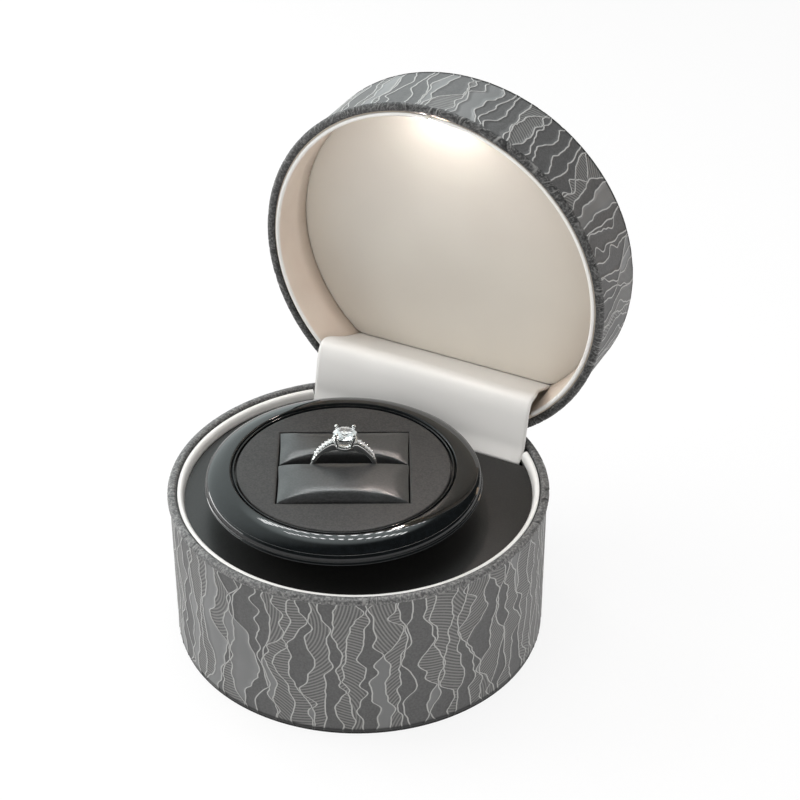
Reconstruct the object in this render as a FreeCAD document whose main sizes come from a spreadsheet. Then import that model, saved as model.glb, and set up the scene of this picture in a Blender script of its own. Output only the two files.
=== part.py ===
import FreeCAD, Part
import math
import os
from types import SimpleNamespace

import Sketcher
from FreeCAD import Placement, Rotation, Vector

# Round lighted presentation box for one ring.
#
# Millimetres. +Z is up, -Y is the front, and the origin is on the table under the middle of the
# round outline. The rear of the round base and lid is cut straight, and the hinge lies there.
# The lid is drawn shut and then swung open about the hinge line, which is how the box is shown.
# The ring stands between two pads in a raised round table. The table turns on a column, and two
# pins on the lid lift that column as the lid opens.

SIZES = {
    # outline
    "outer_radius": 55.0,
    "back_cut": 10.0,
    "corner_radius": 3.0,
    "base_height": 48.0,
    "lid_height": 24.2,
    "rim_gap": 0.4,
    "lid_open": 88.0,
    # walls of base and lid
    "wrap_thickness": 0.7,
    "shell_wall": 2.1,
    "base_sheet": 0.8,
    "binding_proud": 0.7,
    "binding_cover": 1.1,
    "binding_drop": 2.8,
    "binding_round": 0.9,
    "fit_gap": 0.1,
    # white liners, floor and lid panel
    "liner_wall": 0.9,
    "liner_corner": 5.0,
    "liner_room": 7.4,
    "liner_below_rim": 0.3,
    "liner_ledge": 3.4,
    "ledge_thickness": 2.2,
    "floor_drop": 3.4,
    "floor_thickness": 1.6,
    "floor_room": 4.5,
    "lid_liner_room": 4.8,
    "panel_thickness": 1.0,
    "panel_room": 6.8,
    # white flap over the hinge
    "flap_thickness": 0.8,
    "flap_overhang": 0.8,
    "flap_foot_taper": 0.5,
    "flap_tail_taper": 2.5,
    "flap_foot_room": 11.0,
    "flap_rim_room": 8.2,
    "flap_crest_room": 4.6,
    "flap_crest_height": 16.2,
    "flap_bend": 4.5,
    "clamp_width": 1.0,
    "clamp_height": 1.2,
    # hinge
    "hinge_height": 0.2,
    "barrel_radius": 1.4,
    "leaf_thickness": 0.6,
    "leaf_half_length": 15.0,
    "leaf_depth": 12.0,
    "knuckle_length": 6.0,
    "spring_half_length": 3.1,
    "spring_wire": 0.25,
    "spring_pitch": 0.62,
    "pin_radius": 0.6,
    "pin_head_radius": 1.1,
    "pin_head": 0.5,
    "rivet_radius": 0.9,
    "rivet_head_radius": 1.8,
    "rivet_head": 0.4,
    "rivet_spacing": 12.0,
    "rivet_drop": 8.0,
    "hinge_clearance": 0.2,
    # lift: arms on the lid, yoke and column under the table
    "lift_pin_radius": 1.0,
    "lift_pin_reach": 4.5,
    "lift_pin_drop": 4.0,
    "lift_arm_place": 21.0,
    "lift_arm_thickness": 1.6,
    "lift_arm_rim": 0.5,
    "arm_foot_height": 8.0,
    "arm_foot_reach": 3.2,
    "arm_screw_radius": 0.8,
    "arm_screw_head": 0.7,
    "yoke_gap": 0.45,
    "yoke_half_width": 15.5,
    "yoke_plate": 2.0,
    "yoke_plate_room": 0.8,
    "ledge_half_width": 19.5,
    "ledge_height": 2.0,
    "yoke_arm_drop": 14.5,
    "yoke_arm_thickness": 3.0,
    "yoke_arm_half_width": 5.0,
    "yoke_boss_radius": 9.0,
    "yoke_skirt": 6.5,
    "grub_radius": 1.25,
    "rail_width": 2.0,
    "rail_reach": 3.4,
    "column_radius": 5.0,
    "column_flange_radius": 12.0,
    "column_flange": 2.0,
    "column_foot_gap": 1.1,
    "sleeve_wall": 2.7,
    "sleeve_gap": 0.3,
    "sleeve_top_gap": 0.75,
    "sleeve_flange_radius": 14.0,
    "sleeve_flange": 2.5,
    "screw_radius": 1.0,
    "screw_head_radius": 2.0,
    "screw_head": 1.4,
    "screw_circle": 11.0,
    "screw_bite": 1.6,
    # turning table
    "table_place": 8.5,
    "table_turn": 28.1,
    "table_rise": 9.5,
    "disc_gap": 0.9,
    "disc_thickness": 1.0,
    "bezel_width": 7.3,
    "bezel_inset": 3.9,
    "bezel_crest": 1.5,
    "bezel_skirt": 0.5,
    "platter_thickness": 3.2,
    "pad_gap": 2.8,
    "pad_crown": 1.6,
    "pad_round": 2.2,
    "tray_wall": 0.6,
    "tray_floor": 0.8,
    "tray_depth": 11.5,
    "pedestal_wall": 1.0,
    "pedestal_gap": 0.7,
    "hub_thickness": 2.0,
    "hub_drop": 1.6,
    "washer_thickness": 0.8,
    "washer_radius": 10.0,
    "shoulder_radius": 2.0,
    "shoulder_thread": 1.5,
    "shoulder_bite": 6.0,
    "shoulder_head_radius": 3.5,
    "shoulder_head": 1.0,
    # ring
    "band_radius": 9.9,
    "band_thickness": 1.5,
    "band_width": 2.0,
    "band_rise": 0.2,
    "collar_radius": 2.3,
    "collar_bore": 1.4,
    "collar_height": 0.5,
    "stone_radius": 2.9,
    "stone_girdle": 0.2,
    "stone_crown": 1.0,
    "stone_pavilion": 2.1,
    "stone_table_radius": 1.6,
    "prong_radius": 0.35,
    "prong_spread": 1.65,
    "prong_height": 3.8,
    "side_stone_radius": 0.55,
    "side_stone_height": 0.35,
    "side_stone_first": 18.0,
    "side_stone_step": 7.5,
    # light
    "cell_radius": 10.0,
    "cell_height": 3.2,
    "holder_wall": 1.0,
    "holder_floor": 0.6,
    "cell_headroom": 0.3,
    "cell_place": 25.0,
    "recess_wall": 0.8,
    "recess_half_width": 4.7,
    "recess_middle": 1.5,
    "lamp_place": 3.9,
    "lamp_height": 3.2,
    "lens_radius": 1.3,
    "strip_width": 2.8,
    "strip_thickness": 0.3,
    "switch_width": 4.4,
    "switch_height": 4.0,
    "switch_thickness": 1.1,
    "plunger_radius": 0.6,
    "plunger_proud": 1.0,
    "plunger_length": 4.0,
}

GUIDE_SCREWS = 4
SIDE_STONES = 5
PRONGS = 4

# shares: the table's radius in the box's, and the pads' window in the disc's diameter
TABLE_SHARE = 0.7109
WINDOW_LENGTH_SHARE = 0.6036
WINDOW_WIDTH_SHARE = 0.5696


class Size:
    """A length that knows its value in mm and the sheet expression that gives it."""

    def __init__(self, value, text):
        self.value = float(value)
        self.text = text

    @staticmethod
    def of(other):
        return other if isinstance(other, Size) else Size(other, repr(float(other)))

    def joined(self, sign, other, value):
        return Size(value, f"({self.text} {sign} {other.text})")

    def __add__(self, other):
        other = Size.of(other)
        return self.joined("+", other, self.value + other.value)

    def __sub__(self, other):
        other = Size.of(other)
        return self.joined("-", other, self.value - other.value)

    def __mul__(self, other):
        other = Size.of(other)
        return self.joined("*", other, self.value * other.value)

    def __truediv__(self, other):
        other = Size.of(other)
        return self.joined("/", other, self.value / other.value)

    def __radd__(self, other):
        return Size.of(other) + self

    def __rsub__(self, other):
        return Size.of(other) - self

    def __rmul__(self, other):
        return Size.of(other) * self

    def __neg__(self):
        return Size.of(0) - self


def root(size):
    return Size(math.sqrt(size.value), f"sqrt({size.text})")


def sine(angle):
    return Size(math.sin(math.radians(angle.value)), f"sin({angle.text} * 1 deg)")


def cosine(angle):
    return Size(math.cos(math.radians(angle.value)), f"cos({angle.text} * 1 deg)")


doc = FreeCAD.newDocument("RingBox")
sheet = doc.addObject("Spreadsheet::Sheet", "Sizes")
S = SimpleNamespace()
for row, (alias, number) in enumerate(SIZES.items(), start=1):
    sheet.set(f"A{row}", alias)
    sheet.set(f"B{row}", str(number))
    sheet.setAlias(f"B{row}", alias)
    setattr(S, alias, Size(number, f"Sizes.{alias}"))
doc.recompute()

nodes = []


def node(obj):
    """Mark a finished sub-part, so that it is checked and written to its file."""
    nodes.append(obj)
    return obj


def bind(obj, **sizes):
    """Set properties of an object and tie each one to its expression."""
    for name, size in sizes.items():
        size = Size.of(size)
        setattr(obj, name, size.value)
        obj.setExpression(name, size.text)


def put(obj, x=0, y=0, z=0, turn=None):
    """Place an object, with its position tied to the sheet."""
    sizes = [Size.of(size) for size in (x, y, z)]
    obj.Placement = Placement(Vector(*[size.value for size in sizes]), turn or Rotation())
    for axis, size in zip("xyz", sizes):
        if "Sizes" in size.text:
            obj.setExpression(f"Placement.Base.{axis}", size.text)
    return obj


ALONG_X = Rotation(Vector(0, 1, 0), 90)
ALONG_Y = Rotation(Vector(1, 0, 0), -90)


def box(label, x, y, z):
    """Block between the given (low, high) pairs."""
    spans = [[Size.of(end) for end in span] for span in (x, y, z)]
    block = doc.addObject("Part::Box", label)
    for name, (low, high) in zip(("Length", "Width", "Height"), spans):
        bind(block, **{name: high - low})
    return put(block, *[low for low, high in spans])


def rod(label, radius, length, x=0, y=0, z=0, turn=None):
    """Cylinder from (x, y, z) along +Z, or along the turned +Z."""
    cylinder = doc.addObject("Part::Cylinder", label)
    bind(cylinder, Radius=radius, Height=length)
    return put(cylinder, x, y, z, turn)


def cone(label, low_radius, high_radius, height, z=0):
    frustum = doc.addObject("Part::Cone", label)
    bind(frustum, Radius1=low_radius, Radius2=high_radius, Height=height)
    return put(frustum, z=z)


def joined(label, *parts):
    if len(parts) == 1:
        return parts[0]
    union = doc.addObject("Part::MultiFuse", label)
    union.Shapes = list(parts)
    return union


def cut(label, base, *tools):
    difference = doc.addObject("Part::Cut", label)
    difference.Base = base
    difference.Tool = joined(label + "_cutter", *tools)
    return difference


def group(label, *parts):
    """Separate solids that share one node."""
    together = doc.addObject("Part::Compound", label)
    together.Links = list(parts)
    return together


def body(label):
    return doc.addObject("PartDesign::Body", label)


def sketch_on(part, name, role="XY_Plane", height=0):
    """New sketch on one of the body's own origin planes, moved along its normal."""
    height = Size.of(height)
    sketch = part.newObject("Sketcher::SketchObject", name)
    plane = next(item for item in part.Origin.OriginFeatures if item.Role == role)
    sketch.AttachmentSupport = [(plane, "")]
    sketch.MapMode = "FlatFace"
    sketch.AttachmentOffset = Placement(Vector(0, 0, height.value), Rotation())
    sketch.setExpression("AttachmentOffset.Base.z", height.text)
    return sketch


def dimension(sketch, kind, *where, size):
    """Add one driving dimension, tied to the sheet."""
    size = Size.of(size)
    index = sketch.addConstraint(Sketcher.Constraint(kind, *where, size.value))
    sketch.setExpression(f"Constraints[{index}]", size.text)


def flat_backed(part, name, radius, flat, corner, height):
    """Sketch of a circle whose rear is cut straight at `flat`, with two rounded corners.

    Each corner arc touches the circle from inside, so its centre is at radius - corner from
    the axis and at flat - corner behind it.
    """
    sketch = sketch_on(part, name, height=height)
    y = flat.value - corner.value
    x = math.sqrt((radius.value - corner.value) ** 2 - y ** 2)
    lean = math.atan2(y, x)
    up = Vector(0, 0, 1)

    def arc(centre, size, start, end):
        circle = Part.Circle(Vector(*centre, 0), up, size.value)
        return sketch.addGeometry(Part.ArcOfCircle(circle, start, end), False)

    front = arc((0, 0), radius, math.pi - lean, 2 * math.pi + lean)
    right = arc((x, y), corner, lean, math.pi / 2)
    back = sketch.addGeometry(Part.LineSegment(Vector(x, flat.value, 0), Vector(-x, flat.value, 0)))
    left = arc((-x, y), corner, math.pi / 2, math.pi - lean)
    sketch.addConstraint(Sketcher.Constraint("Coincident", front, 3, -1, 1))
    loop = (front, right, back, left)
    for first, second in zip(loop, loop[1:] + loop[:1]):
        sketch.addConstraint(Sketcher.Constraint("Tangent", first, 2, second, 1))
    sketch.addConstraint(Sketcher.Constraint("Horizontal", back))
    dimension(sketch, "Radius", front, size=radius)
    dimension(sketch, "Radius", right, size=corner)
    dimension(sketch, "Radius", left, size=corner)
    dimension(sketch, "DistanceY", -1, 1, back, 1, size=flat)
    return sketch


def outline(sketch, corners):
    """Closed straight-sided outline whose corners are each tied to the sheet."""
    corners = [(Size.of(across), Size.of(along)) for across, along in corners]
    points = [Vector(across.value, along.value, 0) for across, along in corners]
    count = len(points)
    for index in range(count):
        sketch.addGeometry(Part.LineSegment(points[index], points[(index + 1) % count]))
    for index in range(count):
        sketch.addConstraint(
            Sketcher.Constraint("Coincident", index, 2, (index + 1) % count, 1))
    for index, sizes in enumerate(corners):
        for kind, axis, size in zip(("DistanceX", "DistanceY"), (-2, -1), sizes):
            if size.value == 0:
                sketch.addConstraint(Sketcher.Constraint("PointOnObject", index, 1, axis))
            else:
                dimension(sketch, kind, -1, 1, index, 1, size=size)
    return sketch


def pad(part, sketch, length, midplane=False):
    feature = part.newObject("PartDesign::Pad", sketch.Name + "_pad")
    feature.Profile = sketch
    bind(feature, Length=length)
    feature.Midplane = midplane
    sketch.Visibility = False
    return feature


def pocket(part, sketch, depth, upward=False):
    """Remove the sketch's area, downward from it unless told otherwise."""
    feature = part.newObject("PartDesign::Pocket", sketch.Name + "_pocket")
    feature.Profile = sketch
    feature.Reversed = upward
    bind(feature, Length=depth)
    return feature


def revolve(part, sketch):
    feature = part.newObject("PartDesign::Revolution", sketch.Name + "_turned")
    feature.Profile = sketch
    feature.ReferenceAxis = (sketch, ["V_Axis"])
    feature.Angle = 360
    return feature


def round_edges(part, feature, radius, chosen):
    """Round the edges of a feature whose middle point passes the test."""
    doc.recompute()
    names = []
    for index, edge in enumerate(feature.Shape.Edges, start=1):
        middle = edge.valueAt((edge.FirstParameter + edge.LastParameter) / 2)
        if chosen(middle, edge):
            names.append(f"Edge{index}")
    fillet = part.newObject("PartDesign::Fillet", feature.Name + "_rounded")
    fillet.Base = (feature, names)
    bind(fillet, Radius=radius)
    return fillet


# ---- levels and radii that several pieces share ---------------------------------------------

rim = S.base_height
lid_rim = rim + S.rim_gap
lid_top = lid_rim + S.lid_height
back_face = S.outer_radius - S.back_cut
hinge_y = back_face
hinge_z = rim + S.hinge_height

wrap_radius = S.outer_radius - S.binding_proud
shell_radius = wrap_radius - S.wrap_thickness
shell_back = back_face - S.wrap_thickness
cavity_radius = shell_radius - S.shell_wall
cavity_back = shell_back - S.shell_wall
shell_corner = S.corner_radius - S.wrap_thickness
cavity_corner = shell_corner - S.shell_wall / 2

shell_floor = S.base_sheet + S.shell_wall
shell_rim = rim - S.binding_cover
binding_foot = rim - S.binding_drop
liner_radius = cavity_radius - S.fit_gap
liner_inner_radius = liner_radius - S.liner_wall
liner_back = back_face - S.liner_room
liner_inner_back = liner_back - S.liner_wall
floor_back = liner_back - S.floor_room
floor_top = rim - S.floor_drop
floor_foot = floor_top - S.floor_thickness
ledge_foot = floor_foot - S.ledge_thickness

cell_stack = S.holder_floor + S.cell_height + S.cell_headroom
panel_depth = (S.lid_height - S.wrap_thickness - S.shell_wall - cell_stack - S.fit_gap
               - S.panel_thickness)
panel_back = back_face - S.panel_room
lid_liner_back = back_face - S.lid_liner_room
recess_place = shell_radius - S.recess_wall

# the flap is a little wider than the straight part of the liner's rear wall
liner_half_chord = root(liner_inner_radius * liner_inner_radius
                        - liner_inner_back * liner_inner_back)
flap_half_width = liner_half_chord + S.flap_overhang
flap_foot_half_width = flap_half_width - S.flap_foot_taper
flap_tail_half_width = flap_half_width - S.flap_tail_taper
flap_foot = back_face - S.flap_foot_room
flap_rim = back_face - S.flap_rim_room
flap_crest = back_face - S.flap_crest_room

pin_closed_y = hinge_y - S.lift_pin_reach
pin_closed_z = hinge_z - S.lift_pin_drop
open_sine = sine(S.lid_open)
open_cosine = cosine(S.lid_open)
pin_open_z = hinge_z + S.lift_pin_reach * open_sine - S.lift_pin_drop * open_cosine
lift_travel = pin_open_z - pin_closed_z

yoke_arm_foot = rim - S.yoke_arm_drop
yoke_arm_top = yoke_arm_foot + S.yoke_arm_thickness
yoke_plate_back = cavity_back - S.yoke_plate_room
sleeve_height = yoke_arm_foot - lift_travel - S.sleeve_top_gap - shell_floor

table_y = -S.table_place
bezel_outer_radius = S.outer_radius * TABLE_SHARE
bezel_inner_radius = bezel_outer_radius - S.bezel_width
bezel_crest_radius = bezel_outer_radius - S.bezel_inset
disc_radius = bezel_inner_radius - S.disc_gap
window_length = 2 * disc_radius * WINDOW_LENGTH_SHARE
window_width = 2 * disc_radius * WINDOW_WIDTH_SHARE
table_top = rim + S.table_rise
disc_foot = table_top - S.disc_thickness
platter_top = disc_foot - S.fit_gap
platter_foot = platter_top - S.platter_thickness
pedestal_length = platter_foot - yoke_arm_top - S.pedestal_gap
tray_foot = disc_foot - S.tray_depth
hub_top = tray_foot - S.hub_drop
hub_foot = hub_top - S.hub_thickness
column_top = hub_foot - S.washer_thickness
tray_length = window_length + 2 * S.tray_wall
tray_width = window_width + 2 * S.tray_wall
half_diagonal = root(tray_length * tray_length + tray_width * tray_width) / 2
pedestal_inner_radius = half_diagonal + 2 * S.fit_gap
pedestal_radius = pedestal_inner_radius + S.pedestal_wall
floor_hole_radius = pedestal_radius + 6 * S.fit_gap

OPEN_TURN = Rotation(Vector(1, 0, 0), -S.lid_open.value)
TABLE_TURN = Rotation(Vector(0, 0, 1), S.table_turn.value)


def swung(y, z):
    """Where a point of the shut lid goes when the lid opens."""
    forward = y - hinge_y
    above = z - hinge_z
    return (hinge_y + forward * open_cosine + above * open_sine,
            hinge_z - forward * open_sine + above * open_cosine)


def on_lid(obj):
    """Finish a piece of the lid: it was drawn shut, and turns open about the hinge line."""
    y, z = swung(Size.of(0), Size.of(0))
    return node(put(obj, 0, y, z, OPEN_TURN))


def on_table(obj):
    """Finish a piece of the turning table: it was drawn square about its own axis."""
    return node(put(obj, 0, table_y, 0, TABLE_TURN))


def beside_hinge(label, below, above):
    """Room in a shell or binding for the hinge leaf and its barrel."""
    half = S.leaf_half_length + S.fit_gap + S.pin_head + S.hinge_clearance
    front = hinge_y - S.barrel_radius - S.hinge_clearance / 4
    return box(label, (-half, half), (front, hinge_y + 5), (below, above))


def rivet_rods(label, radius, y_from, y_to, height):
    """Three rods through the rear wall, one at each rivet."""
    return [rod(f"{label}_{index}", radius, y_to - y_from, side * S.rivet_spacing, y_from, height,
                ALONG_Y)
            for index, side in enumerate((-1, 0, 1))]


# ---- base ------------------------------------------------------------------------------------

def base_bottom_panel():
    panel = body("base_bottom_panel")
    half_wrap = S.wrap_thickness / 2
    sketch = flat_backed(panel, "bottom_panel_outline", wrap_radius - half_wrap,
                         back_face - half_wrap, shell_corner, 0)
    pad(panel, sketch, S.base_sheet)
    node(panel)


def base_shell():
    """Rigid tub: a round wall with a flat back, closed below."""
    tub = body("base_tub")
    outside = flat_backed(tub, "base_outside", shell_radius, shell_back, shell_corner, S.base_sheet)
    pad(tub, outside, shell_rim - S.base_sheet)
    inside = flat_backed(tub, "base_inside", cavity_radius, cavity_back, cavity_corner, shell_rim)
    pocket(tub, inside, shell_rim - shell_floor)
    leaf_room = beside_hinge("base_leaf_room", rim - S.leaf_depth - S.hinge_clearance, rim)
    holes = rivet_rods("base_shell_hole", S.rivet_radius + S.fit_gap, cavity_back - 1,
                       hinge_y, rim - S.rivet_drop)
    pilots = guide_screw_rods("pilot", S.screw_radius, shell_floor - S.screw_bite, shell_floor + 1)
    node(cut("base_shell", tub, leaf_room, *holes, *pilots))


def base_wrap():
    """Embossed sheet glued round the side wall."""
    sleeve = body("base_wrap")
    outside = flat_backed(sleeve, "wrap_outside", wrap_radius, back_face, S.corner_radius,
                          S.base_sheet)
    pad(sleeve, outside, binding_foot - S.base_sheet)
    inside = flat_backed(sleeve, "wrap_inside", shell_radius, shell_back, shell_corner,
                         binding_foot)
    pocket(sleeve, inside, binding_foot - S.base_sheet)
    node(sleeve)


def binding(label, foot, top, seat, on_top):
    """Turned-over edge: a rounded ring that caps a shell's rim and hangs over its outside.

    `seat` is the height of the shell's rim. The ring is open toward the shell, which is below
    it on the base and above it on the lid.
    """
    ring = body(label + "_ring")
    outside = flat_backed(ring, label + "_outside", S.outer_radius, back_face, S.corner_radius,
                          foot)
    solid = pad(ring, outside, top - foot)
    through = flat_backed(ring, label + "_through", cavity_radius, cavity_back, cavity_corner, top)
    hollow = pocket(ring, through, top - foot)
    open_end = foot if on_top else top
    rebate = flat_backed(ring, label + "_rebate", shell_radius, shell_back, shell_corner, open_end)
    depth = seat - foot if on_top else top - seat
    stepped = pocket(ring, rebate, depth, upward=on_top)
    rim_end = top.value if on_top else foot.value
    round_edges(ring, stepped, S.binding_round,
                lambda middle, edge: abs(middle.z - rim_end) < 0.01 and edge.Length > 0.5
                and abs(edge.BoundBox.ZLength) < 0.01)
    return ring


def base_rim_binding():
    ring = binding("base_binding", binding_foot, rim, shell_rim, True)
    node(cut("base_rim_binding", ring, beside_hinge("base_binding_notch", binding_foot - 1, rim + 1)))


def base_liner():
    """White inner wall with a ledge that carries the floor."""
    tray = body("base_liner_tray")
    top = rim - S.liner_below_rim
    outside = flat_backed(tray, "liner_outside", liner_radius, liner_back, S.liner_corner,
                          ledge_foot)
    pad(tray, outside, top - ledge_foot)
    inside = flat_backed(tray, "liner_inside", liner_inner_radius, liner_inner_back,
                         S.liner_corner - S.liner_wall, top)
    pocket(tray, inside, top - floor_foot)
    below = flat_backed(tray, "liner_below", liner_inner_radius - S.liner_ledge,
                        liner_inner_back - S.liner_ledge, S.liner_corner, floor_foot)
    pocket(tray, below, floor_foot - ledge_foot)
    half = flap_foot_half_width + 1
    flap_notch = box("flap_notch", (-half, half), (liner_inner_back - 1.5, liner_back + 1),
                     (floor_top - S.fit_gap, rim))
    node(cut("base_liner", tray, flap_notch))


def floor_panel():
    """Dark board between the table and the liner, with a round hole for the pedestal."""
    board = body("floor_board")
    outside = flat_backed(board, "floor_outline", liner_inner_radius - 3 * S.fit_gap, floor_back,
                          S.liner_corner - 1, floor_foot)
    pad(board, outside, S.floor_thickness)
    hole = rod("floor_hole", floor_hole_radius, S.floor_thickness + 2, 0, table_y, floor_foot - 1)
    node(cut("floor_panel", board, hole))


def flap_clamp_bar():
    """Bar that presses the flap's foot to the liner's rear wall."""
    half = flap_foot_half_width - 4
    back = liner_inner_back - S.fit_gap
    bar = box("flap_clamp_bar", (-half, half), (back - S.clamp_width, back),
              (floor_foot, floor_foot + S.clamp_height))
    node(bar)


def hinge_cover_flap():
    """Soft white flap, drawn as the strip it takes with the lid open.

    Its line climbs from behind the floor past the rim, bends over a crest and slopes to the
    lower edge of the lid panel. The bend is an arc.
    """
    foot = Vector(0, flap_foot.value, floor_foot.value + S.flap_thickness.value * 0.6)
    at_rim = Vector(0, flap_rim.value, rim.value)
    crest = Vector(0, flap_crest.value, rim.value + S.flap_crest_height.value)
    tail_y, tail_z = swung(panel_back + S.flap_thickness * 0.25,
                           lid_rim + panel_depth - S.flap_thickness / 2)
    tail = Vector(0, tail_y.value, tail_z.value)
    climb = (crest - at_rim).normalize()
    fall = (tail - crest).normalize()
    turn = climb.getAngle(fall)
    reach = S.flap_bend.value * math.tan(turn / 2)
    bend_from = crest - climb * reach
    bend_to = crest + fall * reach
    inward = (fall - climb).normalize()
    centre = crest + inward * (S.flap_bend.value / math.cos(turn / 2))
    middle = centre - inward * S.flap_bend.value
    line = Part.Wire([
        Part.LineSegment(foot, at_rim).toShape(),
        Part.LineSegment(at_rim, bend_from).toShape(),
        Part.Arc(bend_from, middle, bend_to).toShape(),
        Part.LineSegment(bend_to, tail).toShape(),
    ])
    section = line.makeOffset2D(S.flap_thickness.value, 2, True, True, False)
    half = flap_half_width.value
    section.translate(Vector(-half, 0, 0))
    strip = section.extrude(Vector(2 * half, 0, 0))
    # both ends are narrower, so that they go down inside the round liners
    foot_low = Vector(0, foot.y - 5, foot.z - 1)
    tail_low = Vector(0, hinge_y.value + 7, rim.value)
    for end_half, low, height in ((flap_foot_half_width.value, foot_low, rim.value - foot.z + 1),
                                  (flap_tail_half_width.value, tail_low, 30)):
        for start, end in ((end_half, half + 1), (-half - 1, -end_half)):
            room = Part.makeBox(end - start, hinge_y.value, height, Vector(start, low.y, low.z))
            strip = strip.cut(room)
    flap = doc.addObject("Part::Feature", "hinge_cover_flap")
    flap.Shape = strip
    flap.Placement = Placement()
    node(flap)


def guide_screw_rods(label, radius, low, high):
    """Rods standing on the guide sleeve's screw circle."""
    rods = []
    for index in range(GUIDE_SCREWS):
        angle = Size.of(360 / GUIDE_SCREWS * (index + 0.5))
        rods.append(rod(f"guide_{label}_{index}", radius, high - low, S.screw_circle * cosine(angle),
                        table_y + S.screw_circle * sine(angle), low))
    return rods


def guide_sleeve():
    """Upright tube with a screwed flange, in which the lift column slides."""
    bore_radius = S.column_radius + S.sleeve_gap
    tube = rod("sleeve_tube", bore_radius + S.sleeve_wall, sleeve_height, 0, table_y, shell_floor)
    flange = rod("sleeve_foot", S.sleeve_flange_radius, S.sleeve_flange, 0, table_y, shell_floor)
    bore = rod("sleeve_bore", bore_radius, sleeve_height + 2, 0, table_y, shell_floor - 1)
    holes = guide_screw_rods("hole", S.screw_radius + S.fit_gap, shell_floor - 1,
                             shell_floor + S.sleeve_flange + 1)
    node(cut("guide_sleeve", joined("sleeve_solid", tube, flange), bore, *holes))


def guide_screws():
    seat = shell_floor + S.sleeve_flange
    shanks = guide_screw_rods("shank", S.screw_radius, shell_floor - S.screw_bite, seat)
    heads = guide_screw_rods("head", S.screw_head_radius, seat, seat + S.screw_head)
    screws = [joined(f"guide_screw_{index}", *pair) for index, pair in enumerate(zip(shanks, heads))]
    node(group("guide_screws", *screws))


def yoke_guide_rails():
    """Two uprights on the rear wall that keep the yoke plate from turning."""
    inner = S.yoke_half_width + S.sleeve_gap
    rails = [box(f"yoke_rail_{name}", span, (cavity_back - S.rail_reach, cavity_back),
                 (shell_floor, ledge_foot))
             for name, span in (("right", (inner, inner + S.rail_width)),
                                ("left", (-inner - S.rail_width, -inner)))]
    node(group("yoke_guide_rails", *rails))


# ---- hinge -----------------------------------------------------------------------------------

def leaf_place():
    """Front and rear faces of the hinge leaves, which lie in the shells' rear walls."""
    front = hinge_y - S.barrel_radius
    return front, front + S.leaf_thickness


def knuckles(label, spans):
    """Barrel pieces along the hinge line, each over one (low, high) stretch of X."""
    return [rod(f"{label}_{index}", S.barrel_radius, high - low, low, hinge_y, hinge_z, ALONG_X)
            for index, (low, high) in enumerate(spans)]


def mirrored_spans(low, high):
    return (-high, -low), (low, high)


def hinge_leaf(label, low, high, spans, rivet_height):
    front, back = leaf_place()
    half = S.leaf_half_length
    plate = box(label + "_plate", (-half, half), (front, back), (low, high))
    bore = rod(label + "_bore", S.pin_radius + S.fit_gap / 2, 2 * half + 2, -half - 1, hinge_y,
               hinge_z, ALONG_X)
    holes = rivet_rods(label + "_hole", S.rivet_radius + S.fit_gap, front - 1, back + 1,
                       rivet_height)
    return plate, knuckles(label + "_knuckle", spans), (bore, *holes)


def fixed_span():
    return mirrored_spans(S.leaf_half_length - S.knuckle_length, S.leaf_half_length)


def swinging_span():
    return mirrored_spans(S.spring_half_length + 3 * S.fit_gap,
                          S.leaf_half_length - S.knuckle_length - S.hinge_clearance)


def knuckle_room(label, spans):
    """Space cut from one leaf where the other leaf's knuckles or the spring turn."""
    front, back = leaf_place()
    reach = S.barrel_radius + S.hinge_clearance
    return [box(f"{label}_{index}", (low - S.hinge_clearance, high + S.hinge_clearance),
                (front - 1, back + 1), (hinge_z - reach, hinge_z + reach))
            for index, (low, high) in enumerate(spans)]


def hinge_leaf_base():
    low = rim - S.leaf_depth
    plate, barrels, tools = hinge_leaf("leaf_base", low, hinge_z, fixed_span(), rim - S.rivet_drop)
    middle = S.leaf_half_length - S.knuckle_length
    room = knuckle_room("leaf_base_room", [(-middle + S.hinge_clearance, middle - S.hinge_clearance)])
    notched = cut("leaf_base_notched", plate, *room)
    node(cut("hinge_leaf_base", joined("leaf_base_solid", notched, *barrels), *tools))


def hinge_leaf_lid():
    high = lid_rim + S.leaf_depth
    plate, barrels, tools = hinge_leaf("leaf_lid", hinge_z, high, swinging_span(),
                                       lid_rim + S.rivet_drop)
    spring = S.spring_half_length
    room = knuckle_room("leaf_lid_room", [*fixed_span(), (-spring, spring)])
    notched = cut("leaf_lid_notched", plate, *room)
    on_lid(cut("hinge_leaf_lid", joined("leaf_lid_solid", notched, *barrels), *tools))


def hinge_pin():
    half = S.leaf_half_length + S.fit_gap
    shaft = rod("pin_shaft", S.pin_radius, 2 * half, -half, hinge_y, hinge_z, ALONG_X)
    heads = [rod(f"pin_head_{index}", S.pin_head_radius, S.pin_head, start, hinge_y, hinge_z, ALONG_X)
             for index, start in enumerate((-half - S.pin_head, half))]
    node(joined("hinge_pin", shaft, *heads))


def hinge_spring():
    """Snap spring wound round the middle of the pin."""
    radius = S.barrel_radius - S.spring_wire - S.fit_gap
    helix = doc.addObject("Part::Helix", "spring_line")
    bind(helix, Radius=radius, Pitch=S.spring_pitch,
         Height=2 * (S.spring_half_length - S.spring_wire - S.fit_gap))
    wire = doc.addObject("Part::Circle", "spring_section")
    bind(wire, Radius=S.spring_wire)
    put(wire, x=radius, turn=Rotation(Vector(1, 0, 0), 90))
    coil = doc.addObject("Part::Sweep", "spring_coil")
    coil.Sections = [wire]
    coil.Spine = (helix, [])
    coil.Solid = True
    coil.Frenet = True
    spring = group("hinge_spring", coil)
    node(put(spring, -S.spring_half_length + S.spring_wire + S.fit_gap, hinge_y, hinge_z, ALONG_X))


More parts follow.
